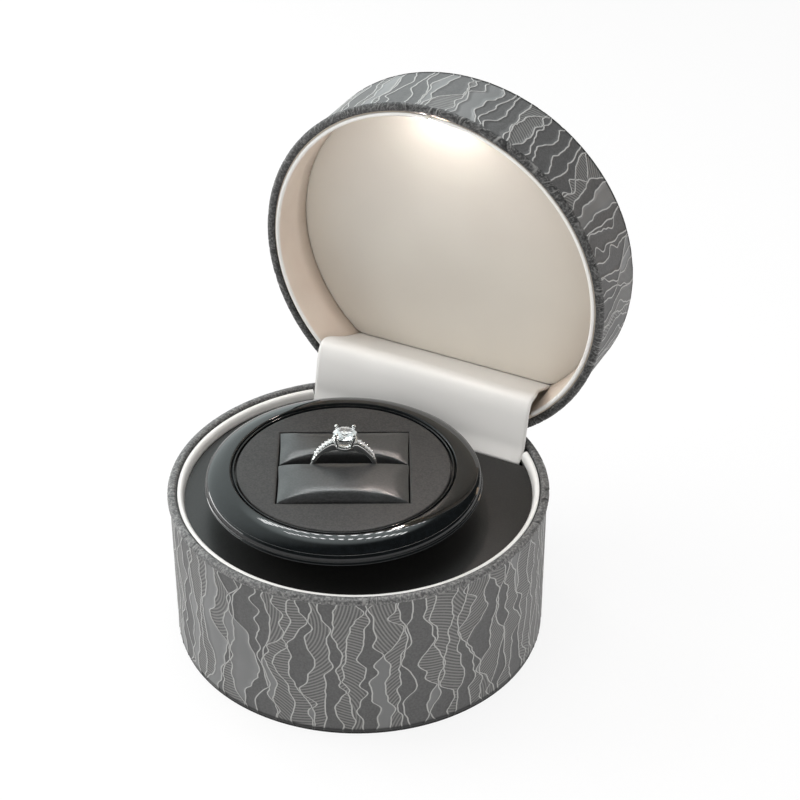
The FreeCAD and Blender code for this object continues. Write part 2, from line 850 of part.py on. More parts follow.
def hinge_rivets(label, height):
    """Three rivets: a shank through leaf and wall, and a head inside the wall."""
    front, back = leaf_place()
    shanks = rivet_rods(label + "_shank", S.rivet_radius, cavity_back, back, height)
    heads = rivet_rods(label + "_head", S.rivet_head_radius, cavity_back - S.rivet_head,
                       cavity_back, height)
    rivets = [joined(f"{label}_{index}_whole", *pair) for index, pair in enumerate(zip(shanks, heads))]
    return group(label, *rivets)


# ---- lid -------------------------------------------------------------------------------------

def lid_shell():
    """Rigid cover, hollow from below, with a recess in front for the lamp and its switch."""
    cover = body("lid_cover")
    foot = lid_rim + S.binding_cover
    top = lid_top - S.wrap_thickness
    outside = flat_backed(cover, "lid_outside", shell_radius, shell_back, shell_corner, foot)
    pad(cover, outside, top - foot)
    inside = flat_backed(cover, "lid_inside", cavity_radius, cavity_back, cavity_corner, foot)
    pocket(cover, inside, top - S.shell_wall - foot, upward=True)
    leaf_room = beside_hinge("lid_leaf_room", lid_rim, lid_rim + S.leaf_depth + S.hinge_clearance)
    holes = rivet_rods("lid_shell_hole", S.rivet_radius + S.fit_gap, cavity_back - 1, hinge_y,
                       lid_rim + S.rivet_drop)
    recess = box("lamp_recess",
                 (S.recess_middle - S.recess_half_width, S.recess_middle + S.recess_half_width),
                 (-recess_place, -recess_place + 4), (foot - 1, top - S.shell_wall))
    screws = arm_screw_rods("pilot", S.arm_screw_radius, cavity_back - 1,
                            cavity_back + S.shell_wall / 2)
    on_lid(cut("lid_shell", cover, leaf_room, *holes, recess, *screws))


def lid_wrap():
    sleeve = body("lid_wrap")
    foot = lid_rim + S.binding_drop
    top = lid_top - S.wrap_thickness
    outside = flat_backed(sleeve, "lid_wrap_outside", wrap_radius, back_face, S.corner_radius, foot)
    pad(sleeve, outside, top - foot)
    inside = flat_backed(sleeve, "lid_wrap_inside", shell_radius, shell_back, shell_corner, top)
    pocket(sleeve, inside, top - foot)
    on_lid(sleeve)


def lid_top_cover():
    cover = body("lid_top_cover")
    sketch = flat_backed(cover, "lid_top_outline", wrap_radius, back_face, S.corner_radius,
                         lid_top - S.wrap_thickness)
    pad(cover, sketch, S.wrap_thickness)
    on_lid(cover)


def lid_rim_binding():
    ring = binding("lid_binding", lid_rim, lid_rim + S.binding_drop, lid_rim + S.binding_cover,
                   False)
    notch = beside_hinge("lid_binding_notch", lid_rim - 1, lid_rim + S.binding_drop + 1)
    on_lid(cut("lid_rim_binding", ring, notch, plunger_hole("binding_plunger_hole")))


def plunger_y():
    return -cavity_radius - S.plunger_radius + 2 * S.fit_gap


def plunger_hole(label):
    return rod(label, S.plunger_radius + 2 * S.fit_gap, S.binding_drop + 4, 0, plunger_y(),
               lid_rim - 2)


def lid_liner():
    """White inner wall of the lid, open at the back where the flap goes in."""
    tray = body("lid_liner_tray")
    foot = lid_rim + S.liner_below_rim
    top = lid_rim + panel_depth
    outside = flat_backed(tray, "lid_liner_outside", liner_radius, lid_liner_back, S.liner_corner,
                          foot)
    pad(tray, outside, top - foot)
    inside = flat_backed(tray, "lid_liner_inside", liner_inner_radius,
                         lid_liner_back - S.liner_wall, S.liner_corner - S.liner_wall, top)
    pocket(tray, inside, top - foot)
    half = flap_half_width + 1
    notch = box("lid_flap_notch", (-half, half), (lid_liner_back - 6, lid_liner_back + 1),
                (foot - 1, top + 1))
    lens_hole = rod("lens_hole", S.lens_radius + S.fit_gap, 4, S.lamp_place,
                    -recess_place + 1, lid_rim + S.lamp_height, ALONG_Y)
    on_lid(cut("lid_liner", tray, notch, lens_hole, plunger_hole("liner_plunger_hole")))


def lid_lining_panel():
    panel = body("lid_lining_panel")
    sketch = flat_backed(panel, "lining_outline", liner_radius - S.fit_gap, panel_back,
                         S.corner_radius / 2, lid_rim + panel_depth)
    pad(panel, sketch, S.panel_thickness)
    on_lid(panel)


def arm_screw_rods(label, radius, y_from, y_to):
    """Rods through the two feet of the lift arms, a low and a high one in each."""
    rods = []
    for side in (-1, 1):
        for level in (0.3, 0.8):
            x = side * (S.lift_arm_place + S.lift_arm_thickness / 2 + S.arm_foot_reach / 2)
            z = lid_rim + S.binding_cover + S.arm_foot_height * level
            rods.append(rod(f"arm_{label}_{side + 1}_{level * 10:.0f}", radius, y_to - y_from, x,
                            y_from, z, ALONG_Y))
    return rods


def lift_arm(label, side):
    """Bracket on the lid's rear wall that reaches below the rim and carries one lift pin."""
    arm = body(label + "_blade")
    half = S.lift_arm_thickness / 2
    wall = cavity_back - S.fit_gap / 2
    foot = lid_rim + S.binding_cover + S.fit_gap
    end_radius = S.lift_pin_radius + S.lift_arm_rim
    front = pin_closed_y - end_radius
    behind = pin_closed_y + S.lift_pin_radius
    over = pin_closed_z + end_radius
    sketch = sketch_on(arm, label + "_outline", "YZ_Plane", side * S.lift_arm_place - half)
    inside = wall - S.lift_arm_thickness
    foot_top = foot + S.arm_foot_height
    outline(sketch, [(front, pin_closed_z), (behind, pin_closed_z), (behind, foot), (wall, foot),
                     (wall, foot_top), (inside, foot_top), (inside, over + 1), (front, over)])
    pad(arm, sketch, S.lift_arm_thickness)
    near = side * S.lift_arm_place + side * half
    far = near + side * S.arm_foot_reach
    span = (near, far) if side > 0 else (far, near)
    plate = box(label + "_foot", span, (wall - S.lift_arm_thickness / 2, wall),
                (foot, foot + S.arm_foot_height))
    end = rod(label + "_end", end_radius, S.lift_arm_thickness, side * S.lift_arm_place - half,
              pin_closed_y, pin_closed_z, ALONG_X)
    bore = rod(label + "_bore", S.lift_pin_radius, 4 * half, side * S.lift_arm_place - 2 * half,
               pin_closed_y, pin_closed_z, ALONG_X)
    holes = arm_screw_rods(label + "_hole", S.arm_screw_radius + S.fit_gap, wall - 4, wall + 1)
    on_lid(cut(label, joined(label + "_solid", arm, plate, end), bore, *holes))


def lift_pins():
    """Two round pins that stick inward from the arms and carry the yoke."""
    outer = S.lift_arm_place + S.lift_arm_thickness / 2
    inner = S.yoke_half_width + S.yoke_gap
    pins = [rod(f"lift_pin_{index}", S.lift_pin_radius, outer - inner, start, pin_closed_y,
                pin_closed_z, ALONG_X)
            for index, start in enumerate((-outer, inner))]
    on_lid(group("lift_pins", *pins))


def lift_arm_screws():
    wall = cavity_back - S.fit_gap / 2
    seat = wall - S.lift_arm_thickness / 2
    shanks = arm_screw_rods("shank", S.arm_screw_radius, seat, cavity_back + S.shell_wall / 2)
    heads = arm_screw_rods("head", 2 * S.arm_screw_radius, seat - S.arm_screw_head, seat)
    screws = [joined(f"arm_screw_{index}", *pair) for index, pair in enumerate(zip(shanks, heads))]
    on_lid(group("lift_arm_screws", *screws))


def light_parts():
    """Battery, its holder, the lamp strip, the lens and the switch, behind the panel."""
    panel_top = lid_rim + panel_depth + S.panel_thickness
    ceiling = lid_top - S.wrap_thickness - S.shell_wall
    holder_foot = panel_top + S.fit_gap
    cell_foot = holder_foot + S.holder_floor
    holder_radius = S.cell_radius + 2 * S.fit_gap + S.holder_wall
    case = rod("holder_case", holder_radius, S.holder_floor + S.cell_height, S.lamp_place,
               -S.cell_place, holder_foot)
    room = rod("holder_room", S.cell_radius + 2 * S.fit_gap, S.cell_height + 1, S.lamp_place,
               -S.cell_place, cell_foot)
    on_lid(cut("battery_holder", case, room))
    on_lid(group("coin_cell", rod("cell_can", S.cell_radius, S.cell_height, S.lamp_place,
                                  -S.cell_place, cell_foot)))

    half = S.strip_width / 2
    span = (S.lamp_place - half, S.lamp_place + half)
    strip_back = -recess_place + S.fit_gap
    strip_front = strip_back + S.strip_thickness
    strip_top = ceiling - S.fit_gap
    upright = box("strip_upright", span, (strip_back, strip_front),
                  (lid_rim + S.binding_cover + S.fit_gap, strip_top))
    along = box("strip_along", span, (strip_back, -S.cell_place - holder_radius - S.fit_gap),
                (strip_top - S.strip_thickness, strip_top))
    on_lid(joined("lamp_strip", upright, along))

    lens_height = lid_rim + S.lamp_height
    chip = box("lamp_chip", span, (strip_front, strip_front + 2 * S.strip_thickness),
               (lens_height - half, lens_height + half))
    lens_start = strip_front + 2 * S.strip_thickness
    lens_end = -liner_inner_radius + S.strip_thickness
    dome = rod("lens_rod", S.lens_radius, lens_end - lens_start, S.lamp_place, lens_start,
               lens_height, ALONG_Y)
    on_lid(joined("lamp_lens", chip, dome))

    switch_foot = lid_rim + S.binding_cover + S.fit_gap * 8
    switch_half = S.switch_width / 2
    middle = -S.fit_gap * 3
    case = box("switch_case", (middle - switch_half, middle + switch_half - S.fit_gap * 2),
               (-liner_radius - S.fit_gap - S.switch_thickness, -liner_radius - S.fit_gap),
               (switch_foot, switch_foot + S.switch_height))
    bore = rod("switch_bore", S.plunger_radius + S.fit_gap, S.switch_height, 0, plunger_y(),
               switch_foot - 1)
    on_lid(cut("light_switch", case, bore))
    on_lid(group("switch_plunger", rod("plunger_rod", S.plunger_radius, S.plunger_length, 0,
                                       plunger_y(), lid_rim - S.plunger_proud)))


# ---- lift ------------------------------------------------------------------------------------

def lift_column():
    """Sliding column with a flange on which the table turns."""
    foot = shell_floor + lift_travel + S.column_foot_gap
    shaft = rod("column_shaft", S.column_radius, column_top - foot, 0, table_y, foot)
    flange = rod("column_flange", S.column_flange_radius, S.column_flange, 0, table_y,
                 column_top - S.column_flange)
    thread = rod("column_thread", S.shoulder_thread, S.shoulder_bite + 1, 0, table_y,
                 column_top - S.shoulder_bite)
    node(cut("lift_column", joined("column_solid", shaft, flange), thread))


def lift_yoke():
    """Arm from the column to the rear, with an upright plate and a ledge that rests on the pins."""
    plate_front = yoke_plate_back - S.yoke_plate
    ledge_foot_z = pin_open_z + S.lift_pin_radius + S.yoke_gap
    half = S.yoke_arm_half_width
    grub_z = yoke_arm_foot + S.yoke_arm_thickness / 2
    boss = rod("yoke_boss", S.yoke_boss_radius, S.yoke_arm_thickness, 0, table_y, yoke_arm_foot)
    arm = box("yoke_arm", (-half, half), (table_y, yoke_plate_back), (yoke_arm_foot, yoke_arm_top))
    ledge_top = ledge_foot_z + S.ledge_height
    depth = (plate_front, yoke_plate_back)
    plate = box("yoke_plate_upright", (-S.yoke_half_width, S.yoke_half_width), depth,
                (yoke_arm_foot - S.yoke_skirt, ledge_top))
    ledge = box("yoke_ledge", (-S.ledge_half_width, S.ledge_half_width), depth,
                (ledge_foot_z, ledge_top))
    bore = rod("yoke_bore", S.column_radius + S.fit_gap / 2, S.yoke_arm_thickness + 2, 0, table_y,
               yoke_arm_foot - 1)
    grub = rod("yoke_grub_hole", S.grub_radius, S.yoke_boss_radius, 0, table_y,
               grub_z, ALONG_X)
    node(cut("lift_yoke", joined("yoke_solid", boss, arm, plate, ledge), bore, grub))
    start = S.column_radius + S.fit_gap / 2
    node(rod("yoke_grub_screw", S.grub_radius, S.yoke_boss_radius - start, start, table_y,
             grub_z, ALONG_X))


def bearing_washer():
    ring = rod("washer_disc", S.washer_radius, S.washer_thickness, 0, table_y, column_top)
    hole = rod("washer_hole", S.shoulder_radius + S.fit_gap, S.washer_thickness + 2, 0, table_y,
               column_top - 1)
    node(cut("bearing_washer", ring, hole))


def shoulder_screw():
    """Screw in the column's head whose plain shoulder lets the hub turn."""
    thread = rod("shoulder_thread_rod", S.shoulder_thread, S.shoulder_bite, 0, table_y,
                 column_top - S.shoulder_bite)
    shoulder = rod("shoulder_rod", S.shoulder_radius, hub_top + S.fit_gap - column_top, 0, table_y,
                   column_top)
    head = rod("shoulder_screw_head", S.shoulder_head_radius, S.shoulder_head, 0, table_y,
               hub_top + S.fit_gap)
    node(joined("shoulder_screw", thread, shoulder, head))


# ---- turning table ---------------------------------------------------------------------------

def turntable_hub():
    disc = rod("hub_disc", pedestal_inner_radius - S.fit_gap, S.hub_thickness, z=hub_foot)
    hole = rod("hub_hole", S.shoulder_radius + 2 * S.fit_gap, S.hub_thickness + 2, z=hub_foot - 1)
    on_table(cut("turntable_hub", disc, hole))


def pedestal_tube():
    tube = rod("pedestal_solid", pedestal_radius, pedestal_length, z=platter_foot - pedestal_length)
    bore = rod("pedestal_bore", pedestal_inner_radius, pedestal_length + 2,
               z=platter_foot - pedestal_length - 1)
    on_table(cut("pedestal_tube", tube, bore))


def square_window(label, length, width, low, high):
    return box(label, (-length / 2, length / 2), (-width / 2, width / 2), (low, high))


def platter_base():
    """Moulded disc under the table, pierced for the tray."""
    disc = rod("platter_disc", bezel_outer_radius - S.bezel_skirt - S.fit_gap,
               S.platter_thickness, z=platter_foot)
    window = square_window("platter_window", tray_length + 2 * S.fit_gap,
                           tray_width + 2 * S.fit_gap, platter_foot - 1, platter_top + 1)
    on_table(cut("platter_base", disc, window))


def bezel_ring():
    """Glossy domed ring round the table, with a thin skirt over the platter's edge."""
    ring = body("bezel_ring")
    sketch = sketch_on(ring, "bezel_section", "XZ_Plane")
    skirt_inner = bezel_outer_radius - S.bezel_skirt
    crest = table_top + S.bezel_crest
    shoulder = table_top - S.disc_thickness
    outline(sketch, [(bezel_inner_radius, platter_top), (bezel_inner_radius, table_top),
                     (bezel_crest_radius - 1.2, crest), (bezel_crest_radius + 1, crest),
                     (bezel_outer_radius - 0.2, shoulder), (bezel_outer_radius, platter_foot + 0.2),
                     (skirt_inner, platter_foot + 0.2), (skirt_inner, platter_top)])
    turned = revolve(ring, sketch)
    round_edges(ring, turned, S.bezel_crest,
                lambda middle, edge: abs(middle.z - crest.value) < 0.01 and edge.Length > 100)
    on_table(ring)


def display_disc():
    """Fabric-covered board round the pads."""
    disc = rod("disc_board", disc_radius, S.disc_thickness, z=disc_foot)
    window = square_window("disc_window", window_length, window_width, disc_foot - 1, table_top + 1)
    on_table(cut("display_disc", disc, window))


def pad_tray():
    """Open box that holds the pads; its rim is level with the platter."""
    case = square_window("tray_case", tray_length, tray_width, tray_foot, platter_top)
    room = square_window("tray_room", window_length, window_width, tray_foot + S.tray_floor,
                         platter_top + 1)
    on_table(cut("pad_tray", case, room))


def cushion(label, side):
    """Foam pad with a crowned top, on one side of the ring's slot."""
    clearance = 3 * S.fit_gap
    foot = tray_foot + S.tray_floor
    near = S.pad_gap / 2
    far = window_width / 2 - clearance
    half = window_length / 2 - clearance
    pad_body = body(label)
    sketch = sketch_on(pad_body, label + "_outline", height=foot)
    low, high = (near, far) if side > 0 else (-far, -near)
    outline(sketch, [(-half, low), (half, low), (half, high), (-half, high)])
    top = table_top + S.pad_crown
    block = pad(pad_body, sketch, top - foot)
    round_edges(pad_body, block, S.pad_round, lambda middle, edge: abs(middle.z - top.value) < 0.01)
    on_table(pad_body)


# ---- ring ------------------------------------------------------------------------------------

ring_z = table_top + S.band_rise
band_top = ring_z + S.band_radius
stone_z = band_top + S.stone_pavilion + S.collar_height + S.fit_gap


def ring_band():
    band = body("ring_band")
    sketch = sketch_on(band, "band_outline", "XZ_Plane")
    for radius in (S.band_radius, S.band_radius - S.band_thickness):
        circle = Part.Circle(Vector(0, ring_z.value, 0), Vector(0, 0, 1), radius.value)
        index = sketch.addGeometry(circle, False)
        sketch.addConstraint(Sketcher.Constraint("PointOnObject", index, 3, -2))
        dimension(sketch, "Radius", index, size=radius)
        dimension(sketch, "DistanceY", -1, 1, index, 3, size=ring_z)
    hoop = pad(band, sketch, S.band_width, midplane=True)
    round_edges(band, hoop, S.band_thickness / 4, lambda middle, edge: edge.Length > 10)
    on_table(band)


def ring_head():
    """Collar, gallery ring and four leaning prongs."""
    collar = cut("collar", rod("collar_rod", S.collar_radius, S.collar_height, z=band_top),
                 rod("collar_hole", S.collar_bore, S.collar_height + 2, z=band_top - 1))
    start = S.collar_radius - S.prong_radius + 2 * S.fit_gap
    prongs = []
    for index in range(PRONGS):
        angle = 360 / PRONGS * (index + 0.5)
        lean = math.degrees(math.atan2(S.prong_spread.value, S.prong_height.value))
        turn = Rotation(Vector(0, 0, 1), angle) * Rotation(Vector(0, 1, 0), lean)
        length = root(S.prong_spread * S.prong_spread + S.prong_height * S.prong_height)
        prongs.append(rod(f"prong_{index}", S.prong_radius, length, start * cosine(Size.of(angle)),
                          start * sine(Size.of(angle)), band_top + S.fit_gap, turn))
    gallery = doc.addObject("Part::Torus", "gallery_ring")
    rise = S.prong_height / 3
    bind(gallery, Radius1=start + S.prong_spread / 3, Radius2=S.prong_radius * 0.8)
    put(gallery, z=band_top + rise)
    on_table(joined("ring_head", collar, gallery, *prongs))


def centre_stone():
    """Round stone: pavilion cone, thin girdle and crown."""
    pavilion = cone("stone_pavilion_cone", 0, S.stone_radius, S.stone_pavilion,
                    z=stone_z - S.stone_pavilion)
    girdle = rod("stone_girdle_rod", S.stone_radius, S.stone_girdle, z=stone_z)
    crown = cone("stone_crown_cone", S.stone_radius, S.stone_table_radius, S.stone_crown,
                 z=stone_z + S.stone_girdle)
    on_table(joined("centre_stone", pavilion, girdle, crown))


def side_stones():
    """Two rows of small stones on the band's shoulders."""
    stones = []
    start = S.band_radius + S.fit_gap / 5
    for side in (-1, 1):
        for index in range(SIDE_STONES):
            angle = side * (S.side_stone_first + S.side_stone_step * index)
            turn = Rotation(Vector(0, 1, 0), angle.value)
            stones.append(rod(f"side_stone_{side + 1}_{index}", S.side_stone_radius,
                              S.side_stone_height, start * sine(angle), 0,
                              ring_z + start * cosine(angle), turn))
    on_table(group("side_stones", *stones))


# ---- assembly --------------------------------------------------------------------------------

base_bottom_panel()
base_shell()
base_wrap()
base_rim_binding()
base_liner()
floor_panel()
flap_clamp_bar()
hinge_cover_flap()
guide_sleeve()
guide_screws()
yoke_guide_rails()
hinge_leaf_base()
hinge_leaf_lid()
hinge_pin()
hinge_spring()
node(hinge_rivets("base_hinge_rivets", rim - S.rivet_drop))
on_lid(hinge_rivets("lid_hinge_rivets", lid_rim + S.rivet_drop))
lid_shell()
lid_wrap()
lid_top_cover()
lid_rim_binding()
lid_liner()
lid_lining_panel()
lift_arm("lift_arm_left", -1)
lift_arm("lift_arm_right", 1)
lift_pins()
lift_arm_screws()
light_parts()
lift_column()
lift_yoke()
bearing_washer()
shoulder_screw()
turntable_hub()
pedestal_tube()
platter_base()
bezel_ring()
display_disc()
pad_tray()
cushion("cushion_front", -1)
cushion("cushion_rear", 1)
ring_band()
ring_head()
centre_stone()
side_stones()

doc.recompute()

failed = [obj.Label for obj in doc.Objects if {"Invalid", "Error"} & set(obj.State)]
if failed:
    raise RuntimeError(f"features that did not compute: {failed}")
for part in nodes:
    if part.Shape.isNull() or not part.Shape.isValid() or not part.Shape.Solids:
        raise RuntimeError(f"{part.Label} has no valid solid")
os.makedirs("parts", exist_ok=True)
for part in nodes:
    part.Shape.exportStep(f"parts/{part.Label}.step")
print(f"{len(nodes)} nodes, lift travel {lift_travel.value:.3f} mm")
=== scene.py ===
import math
from contextlib import contextmanager

import bmesh
import bpy
import numpy as np
from mathutils import Matrix, Vector


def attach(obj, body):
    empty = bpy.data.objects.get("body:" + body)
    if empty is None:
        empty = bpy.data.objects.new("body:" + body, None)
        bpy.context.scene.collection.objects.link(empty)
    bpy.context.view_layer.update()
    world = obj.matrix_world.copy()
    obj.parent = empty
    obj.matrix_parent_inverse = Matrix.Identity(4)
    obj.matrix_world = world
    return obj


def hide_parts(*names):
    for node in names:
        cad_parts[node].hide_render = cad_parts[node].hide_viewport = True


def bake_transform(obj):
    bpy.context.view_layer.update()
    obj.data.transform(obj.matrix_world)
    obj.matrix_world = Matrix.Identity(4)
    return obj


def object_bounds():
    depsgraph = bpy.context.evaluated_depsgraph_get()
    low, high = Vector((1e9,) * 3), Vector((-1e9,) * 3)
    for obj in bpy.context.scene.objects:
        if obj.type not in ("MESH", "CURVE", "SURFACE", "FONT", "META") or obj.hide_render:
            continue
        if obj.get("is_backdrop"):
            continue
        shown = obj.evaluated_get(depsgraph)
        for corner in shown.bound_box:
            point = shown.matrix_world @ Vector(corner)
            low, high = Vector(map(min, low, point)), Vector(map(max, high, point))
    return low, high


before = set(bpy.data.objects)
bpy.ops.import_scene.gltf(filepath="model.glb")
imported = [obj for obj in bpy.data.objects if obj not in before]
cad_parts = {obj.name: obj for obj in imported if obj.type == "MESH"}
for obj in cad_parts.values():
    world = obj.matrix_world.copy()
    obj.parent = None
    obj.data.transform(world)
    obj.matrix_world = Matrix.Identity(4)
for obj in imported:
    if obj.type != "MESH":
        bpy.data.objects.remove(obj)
cad_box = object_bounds()

# %% [markdown]
# ## Sizes shared by the pieces
#
# The box is a round tub whose rear is cut straight, so one outline serves most pieces: a circle, a
# flat back and two rounded corners. The lid is worked out shut and then swung open about the hinge.
# %% Sizes in millimetres
MM = 0.001
# an outline is the radius of its round, the distance of its flat back and the radius of its corners
BOX_LINE = (55.0, 45.0, 3.0)
WRAP_LINE = (54.3, 45.0, 3.0)
RIM, LID_RIM, LID_TOP = 48.0, 48.4, 72.6
HINGE_Y, HINGE_Z, LID_OPEN = 45.0, 48.2, math.radians(88)
TABLE_Y, TABLE_TURN = -8.5, math.radians(28.1)


def swing(points):
    """Lid points, drawn shut, as they lie open: turned by 88 degrees about the hinge line.

    y' = hy + (y - hy) cos a + (z - hz) sin a,  z' = hz - (y - hy) sin a + (z - hz) cos a
    """
    forward, above = points[..., 1] - HINGE_Y, points[..., 2] - HINGE_Z
    c, s = math.cos(LID_OPEN), math.sin(LID_OPEN)
    return np.stack([points[..., 0], HINGE_Y + forward * c + above * s,
                     HINGE_Z - forward * s + above * c], axis=-1)


def on_table(points):
    """Table points, drawn square about the table's own axis, turned and moved to their place."""
    c, s = math.cos(TABLE_TURN), math.sin(TABLE_TURN)
    x, y = points[..., 0], points[..., 1]
    return np.stack([x * c - y * s, TABLE_Y + x * s + y * c, points[..., 2]], axis=-1)


print("lid swings by", round(math.degrees(LID_OPEN)), "degrees")

# %% [markdown]
# ## The flat-backed outline
#
# A share from 0 to 5 runs anticlockwise from the middle of the back: half the flat, a corner, the
# big arc, the other corner, the other half of the flat. The same share on a smaller outline gives
# the matching point, which is how a profile is carried round without twisting.
# %% Outline as a function of its share


def corner_centre(radius, back, corner):
    """Place and bearing of the corner centres, (+-half, low) seen at the angle lean.

    low = back - corner and half^2 = (radius - corner)^2 - low^2, so that each corner's arc touches
    both the flat back and the round.
    """
    low = back - corner
    half = math.sqrt((radius - corner) ** 2 - low ** 2)
    return low, half, math.atan2(low, half)


def d_line(share, radius, back, corner):
    """(x, y) and the outward normal of the outline at each share.

    On an arc of centre m and radius r, the point is m + r (cos a, sin a) and a runs evenly.
    """
    low, half, lean = corner_centre(radius, back, corner)
    part = np.clip(np.floor(share), 0, 4).astype(int)
    t = share - part
    ends = np.array([[math.pi / 2, math.pi / 2], [math.pi / 2, math.pi - lean],
                     [math.pi - lean, 2 * math.pi + lean], [lean, math.pi / 2],
                     [math.pi / 2, math.pi / 2]])
    angle = ends[part, 0] * (1 - t) + ends[part, 1] * t
    centre_x = np.select([part == 0, part == 1, part == 2, part == 3], [-half * t, -half, 0, half],
                         half * (1 - t))
    centre_y = np.where(part == 2, 0.0, low)
    reach = np.where(part == 2, radius, corner)
    nx, ny = np.cos(angle), np.sin(angle)
    straight = (part == 0) | (part == 4)
    nx = np.where(straight, 0.0, nx)
    return centre_x + reach * nx, centre_y + reach * ny, nx, ny


def d_lengths(radius, back, corner):
    """Running length at the whole shares 0 to 5: flat, corner, big arc, corner, flat."""
    _, half, lean = corner_centre(radius, back, corner)
    pieces = [half, corner * (math.pi / 2 - lean), radius * (math.pi + 2 * lean),
              corner * (math.pi / 2 - lean), half]
    return np.concatenate([[0.0], np.cumsum(pieces)])


def d_share(length, radius, back, corner):
    """Share at a running length, evenly between the whole shares."""
    return np.interp(length, d_lengths(radius, back, corner), np.arange(6.0))


def pushed_out(outline, o):
    """The outline moved out by o: its flat back moves by 0.8 o, its corners grow by 0.5 o."""
    radius, back, corner = outline
    return radius + o, back + 0.8 * o, corner + 0.5 * o


ROUND = d_lengths(*WRAP_LINE)[-1]
print("way round the wrap:", round(ROUND, 1), "mm")

# %% [markdown]
# ## From a grid of points to a mesh
#
# Every surface is a grid of points. One function makes the quads, and carries along the pattern's
# own coordinates and any value that a material will read. Columns run anticlockwise and rows run
# up, so the faces point outwards.
# %% Grid to mesh


def placed(name, data):
    """A new object in the scene with this mesh, lamp or camera."""
    made = bpy.data.objects.new(name, data)
    bpy.context.scene.collection.objects.link(made)
    return made


@contextmanager
def edited(mesh):
    """The mesh as loose corners and faces to work on; the result is written back at the end."""
    work = bmesh.new()
    work.from_mesh(mesh)
    yield work
    work.to_mesh(mesh)
    work.free()


def skin(name, points, around=False, uv=None, flip=False, per_point=None, per_face=None):
    """Mesh object of quads through a (rows, columns, 3) grid in mm; around joins last to first."""
    rows, columns = points.shape[:2]
    last = columns if around else columns - 1
    r, c = np.meshgrid(np.arange(rows - 1), np.arange(last), indexing="ij")
    corner_r = np.stack([r, r, r + 1, r + 1], axis=-1)
    corner_c = np.stack([c, c + 1, c + 1, c], axis=-1)
    if flip:
        corner_r, corner_c = corner_r[..., ::-1], corner_c[..., ::-1]
    quads = (corner_r * columns + corner_c % columns).reshape(-1, 4)
    mesh = bpy.data.meshes.new(name)
    mesh.from_pydata(points.reshape(-1, 3) * MM, [], quads.tolist())
    mesh.polygons.foreach_set("use_smooth", np.ones(len(quads), dtype=bool))
    if uv is not None:
        layer = mesh.uv_layers.new(name="UVMap")
        layer.data.foreach_set("uv", uv[corner_r, corner_c].reshape(-1).astype(np.float32))
    for label, values in (per_point or {}).items():
        store = mesh.attributes.new(label, "FLOAT", "POINT")
        store.data.foreach_set("value", values.reshape(-1).astype(np.float32))
    for label, values in (per_face or {}).items():
        kind, field = ("FLOAT_VECTOR", "vector") if values.ndim == 3 else ("FLOAT", "value")
        store = mesh.attributes.new(label, kind, "FACE")
        store.data.foreach_set(field, values.reshape(-1).astype(np.float32))
    return placed(name, mesh)


def sealed(piece, distance=0.002):
    """Merge points closer than a distance in mm, and turn the faces of the shell outwards."""
    with edited(piece.data) as work:
        bmesh.ops.remove_doubles(work, verts=work.verts, dist=distance * MM)
        bmesh.ops.recalc_face_normals(work, faces=work.faces)
    return piece


def capped(name, points, per_point=None):
    """Skin of closed loops with both ends filled."""
    piece = skin(name, points, around=True, per_point=per_point)
    with edited(piece.data) as work:
        bmesh.ops.holes_fill(work, edges=[e for e in work.edges if e.is_boundary], sides=0)
        bmesh.ops.recalc_face_normals(work, faces=work.faces)
    return piece


def smooth_line(corners, times=4):
    """Chaikin's corner cutting: each pass keeps the ends and cuts every corner at 1/4 and 3/4."""
    line = np.asarray(corners, dtype=float)
    for _ in range(times):
        near = line[:-1] * 0.75 + line[1:] * 0.25
        far = line[:-1] * 0.25 + line[1:] * 0.75
        inner = np.stack([near, far], axis=1).reshape(-1, line.shape[1])
        line = np.concatenate([line[:1], inner[1:-1], line[-1:]])
    return line


def evenly(line, count):
    """The same line as `count` points at equal distances along it, and its length."""
    run = np.concatenate([[0], np.cumsum(np.linalg.norm(np.diff(line, axis=0), axis=1))])
    even = np.linspace(0, run[-1], count)
    points = np.stack([np.interp(even, run, line[:, k]) for k in range(line.shape[1])], axis=-1)
    return points, run[-1]


def report(piece):
    """Print how many faces a piece has, and hand it on."""
    print(f"{piece.name}: {len(piece.data.polygons)} faces")
    return piece


# %% [markdown]
# ## A few tools for finishes
#
# Colours are written as sRGB hex and turned to linear light by one function. One function adds a
# shader node with its settings and links. One starts each material, with its shader's constants set
# directly on the sockets, and one links what the nodes work out to the sockets that vary.
# %% Colour, node and material helpers


def paint(code):
    """Linear RGBA of an sRGB hex colour: ((c + 0.055) / 1.055) ^ 2.4 above 0.04045."""
    channels = [int(code[i:i + 2], 16) / 255 for i in (1, 3, 5)]
    return [c / 12.92 if c <= 0.04045 else ((c + 0.055) / 1.055) ** 2.4 for c in channels] + [1.0]


def add(tree, kind, sockets=None, stops=(), **settings):
    """One shader node. Settings are its own properties, sockets hold values or outputs to link, and
    stops are a colour ramp's (place, hex colour) pairs."""
    made = tree.nodes.new("ShaderNode" + kind)
    for key, value in settings.items():
        setattr(made, key, value)
    for key, value in (sockets or {}).items():
        if isinstance(value, bpy.types.NodeSocket):
            tree.links.new(value, made.inputs[key])
        else:
            made.inputs[key].default_value = value
    for number, (place, colour) in enumerate(stops):
        ramp = made.color_ramp.elements
        stop = ramp[number] if number < len(ramp) else ramp.new(place)
        stop.position, stop.color = place, paint(colour)
    return made


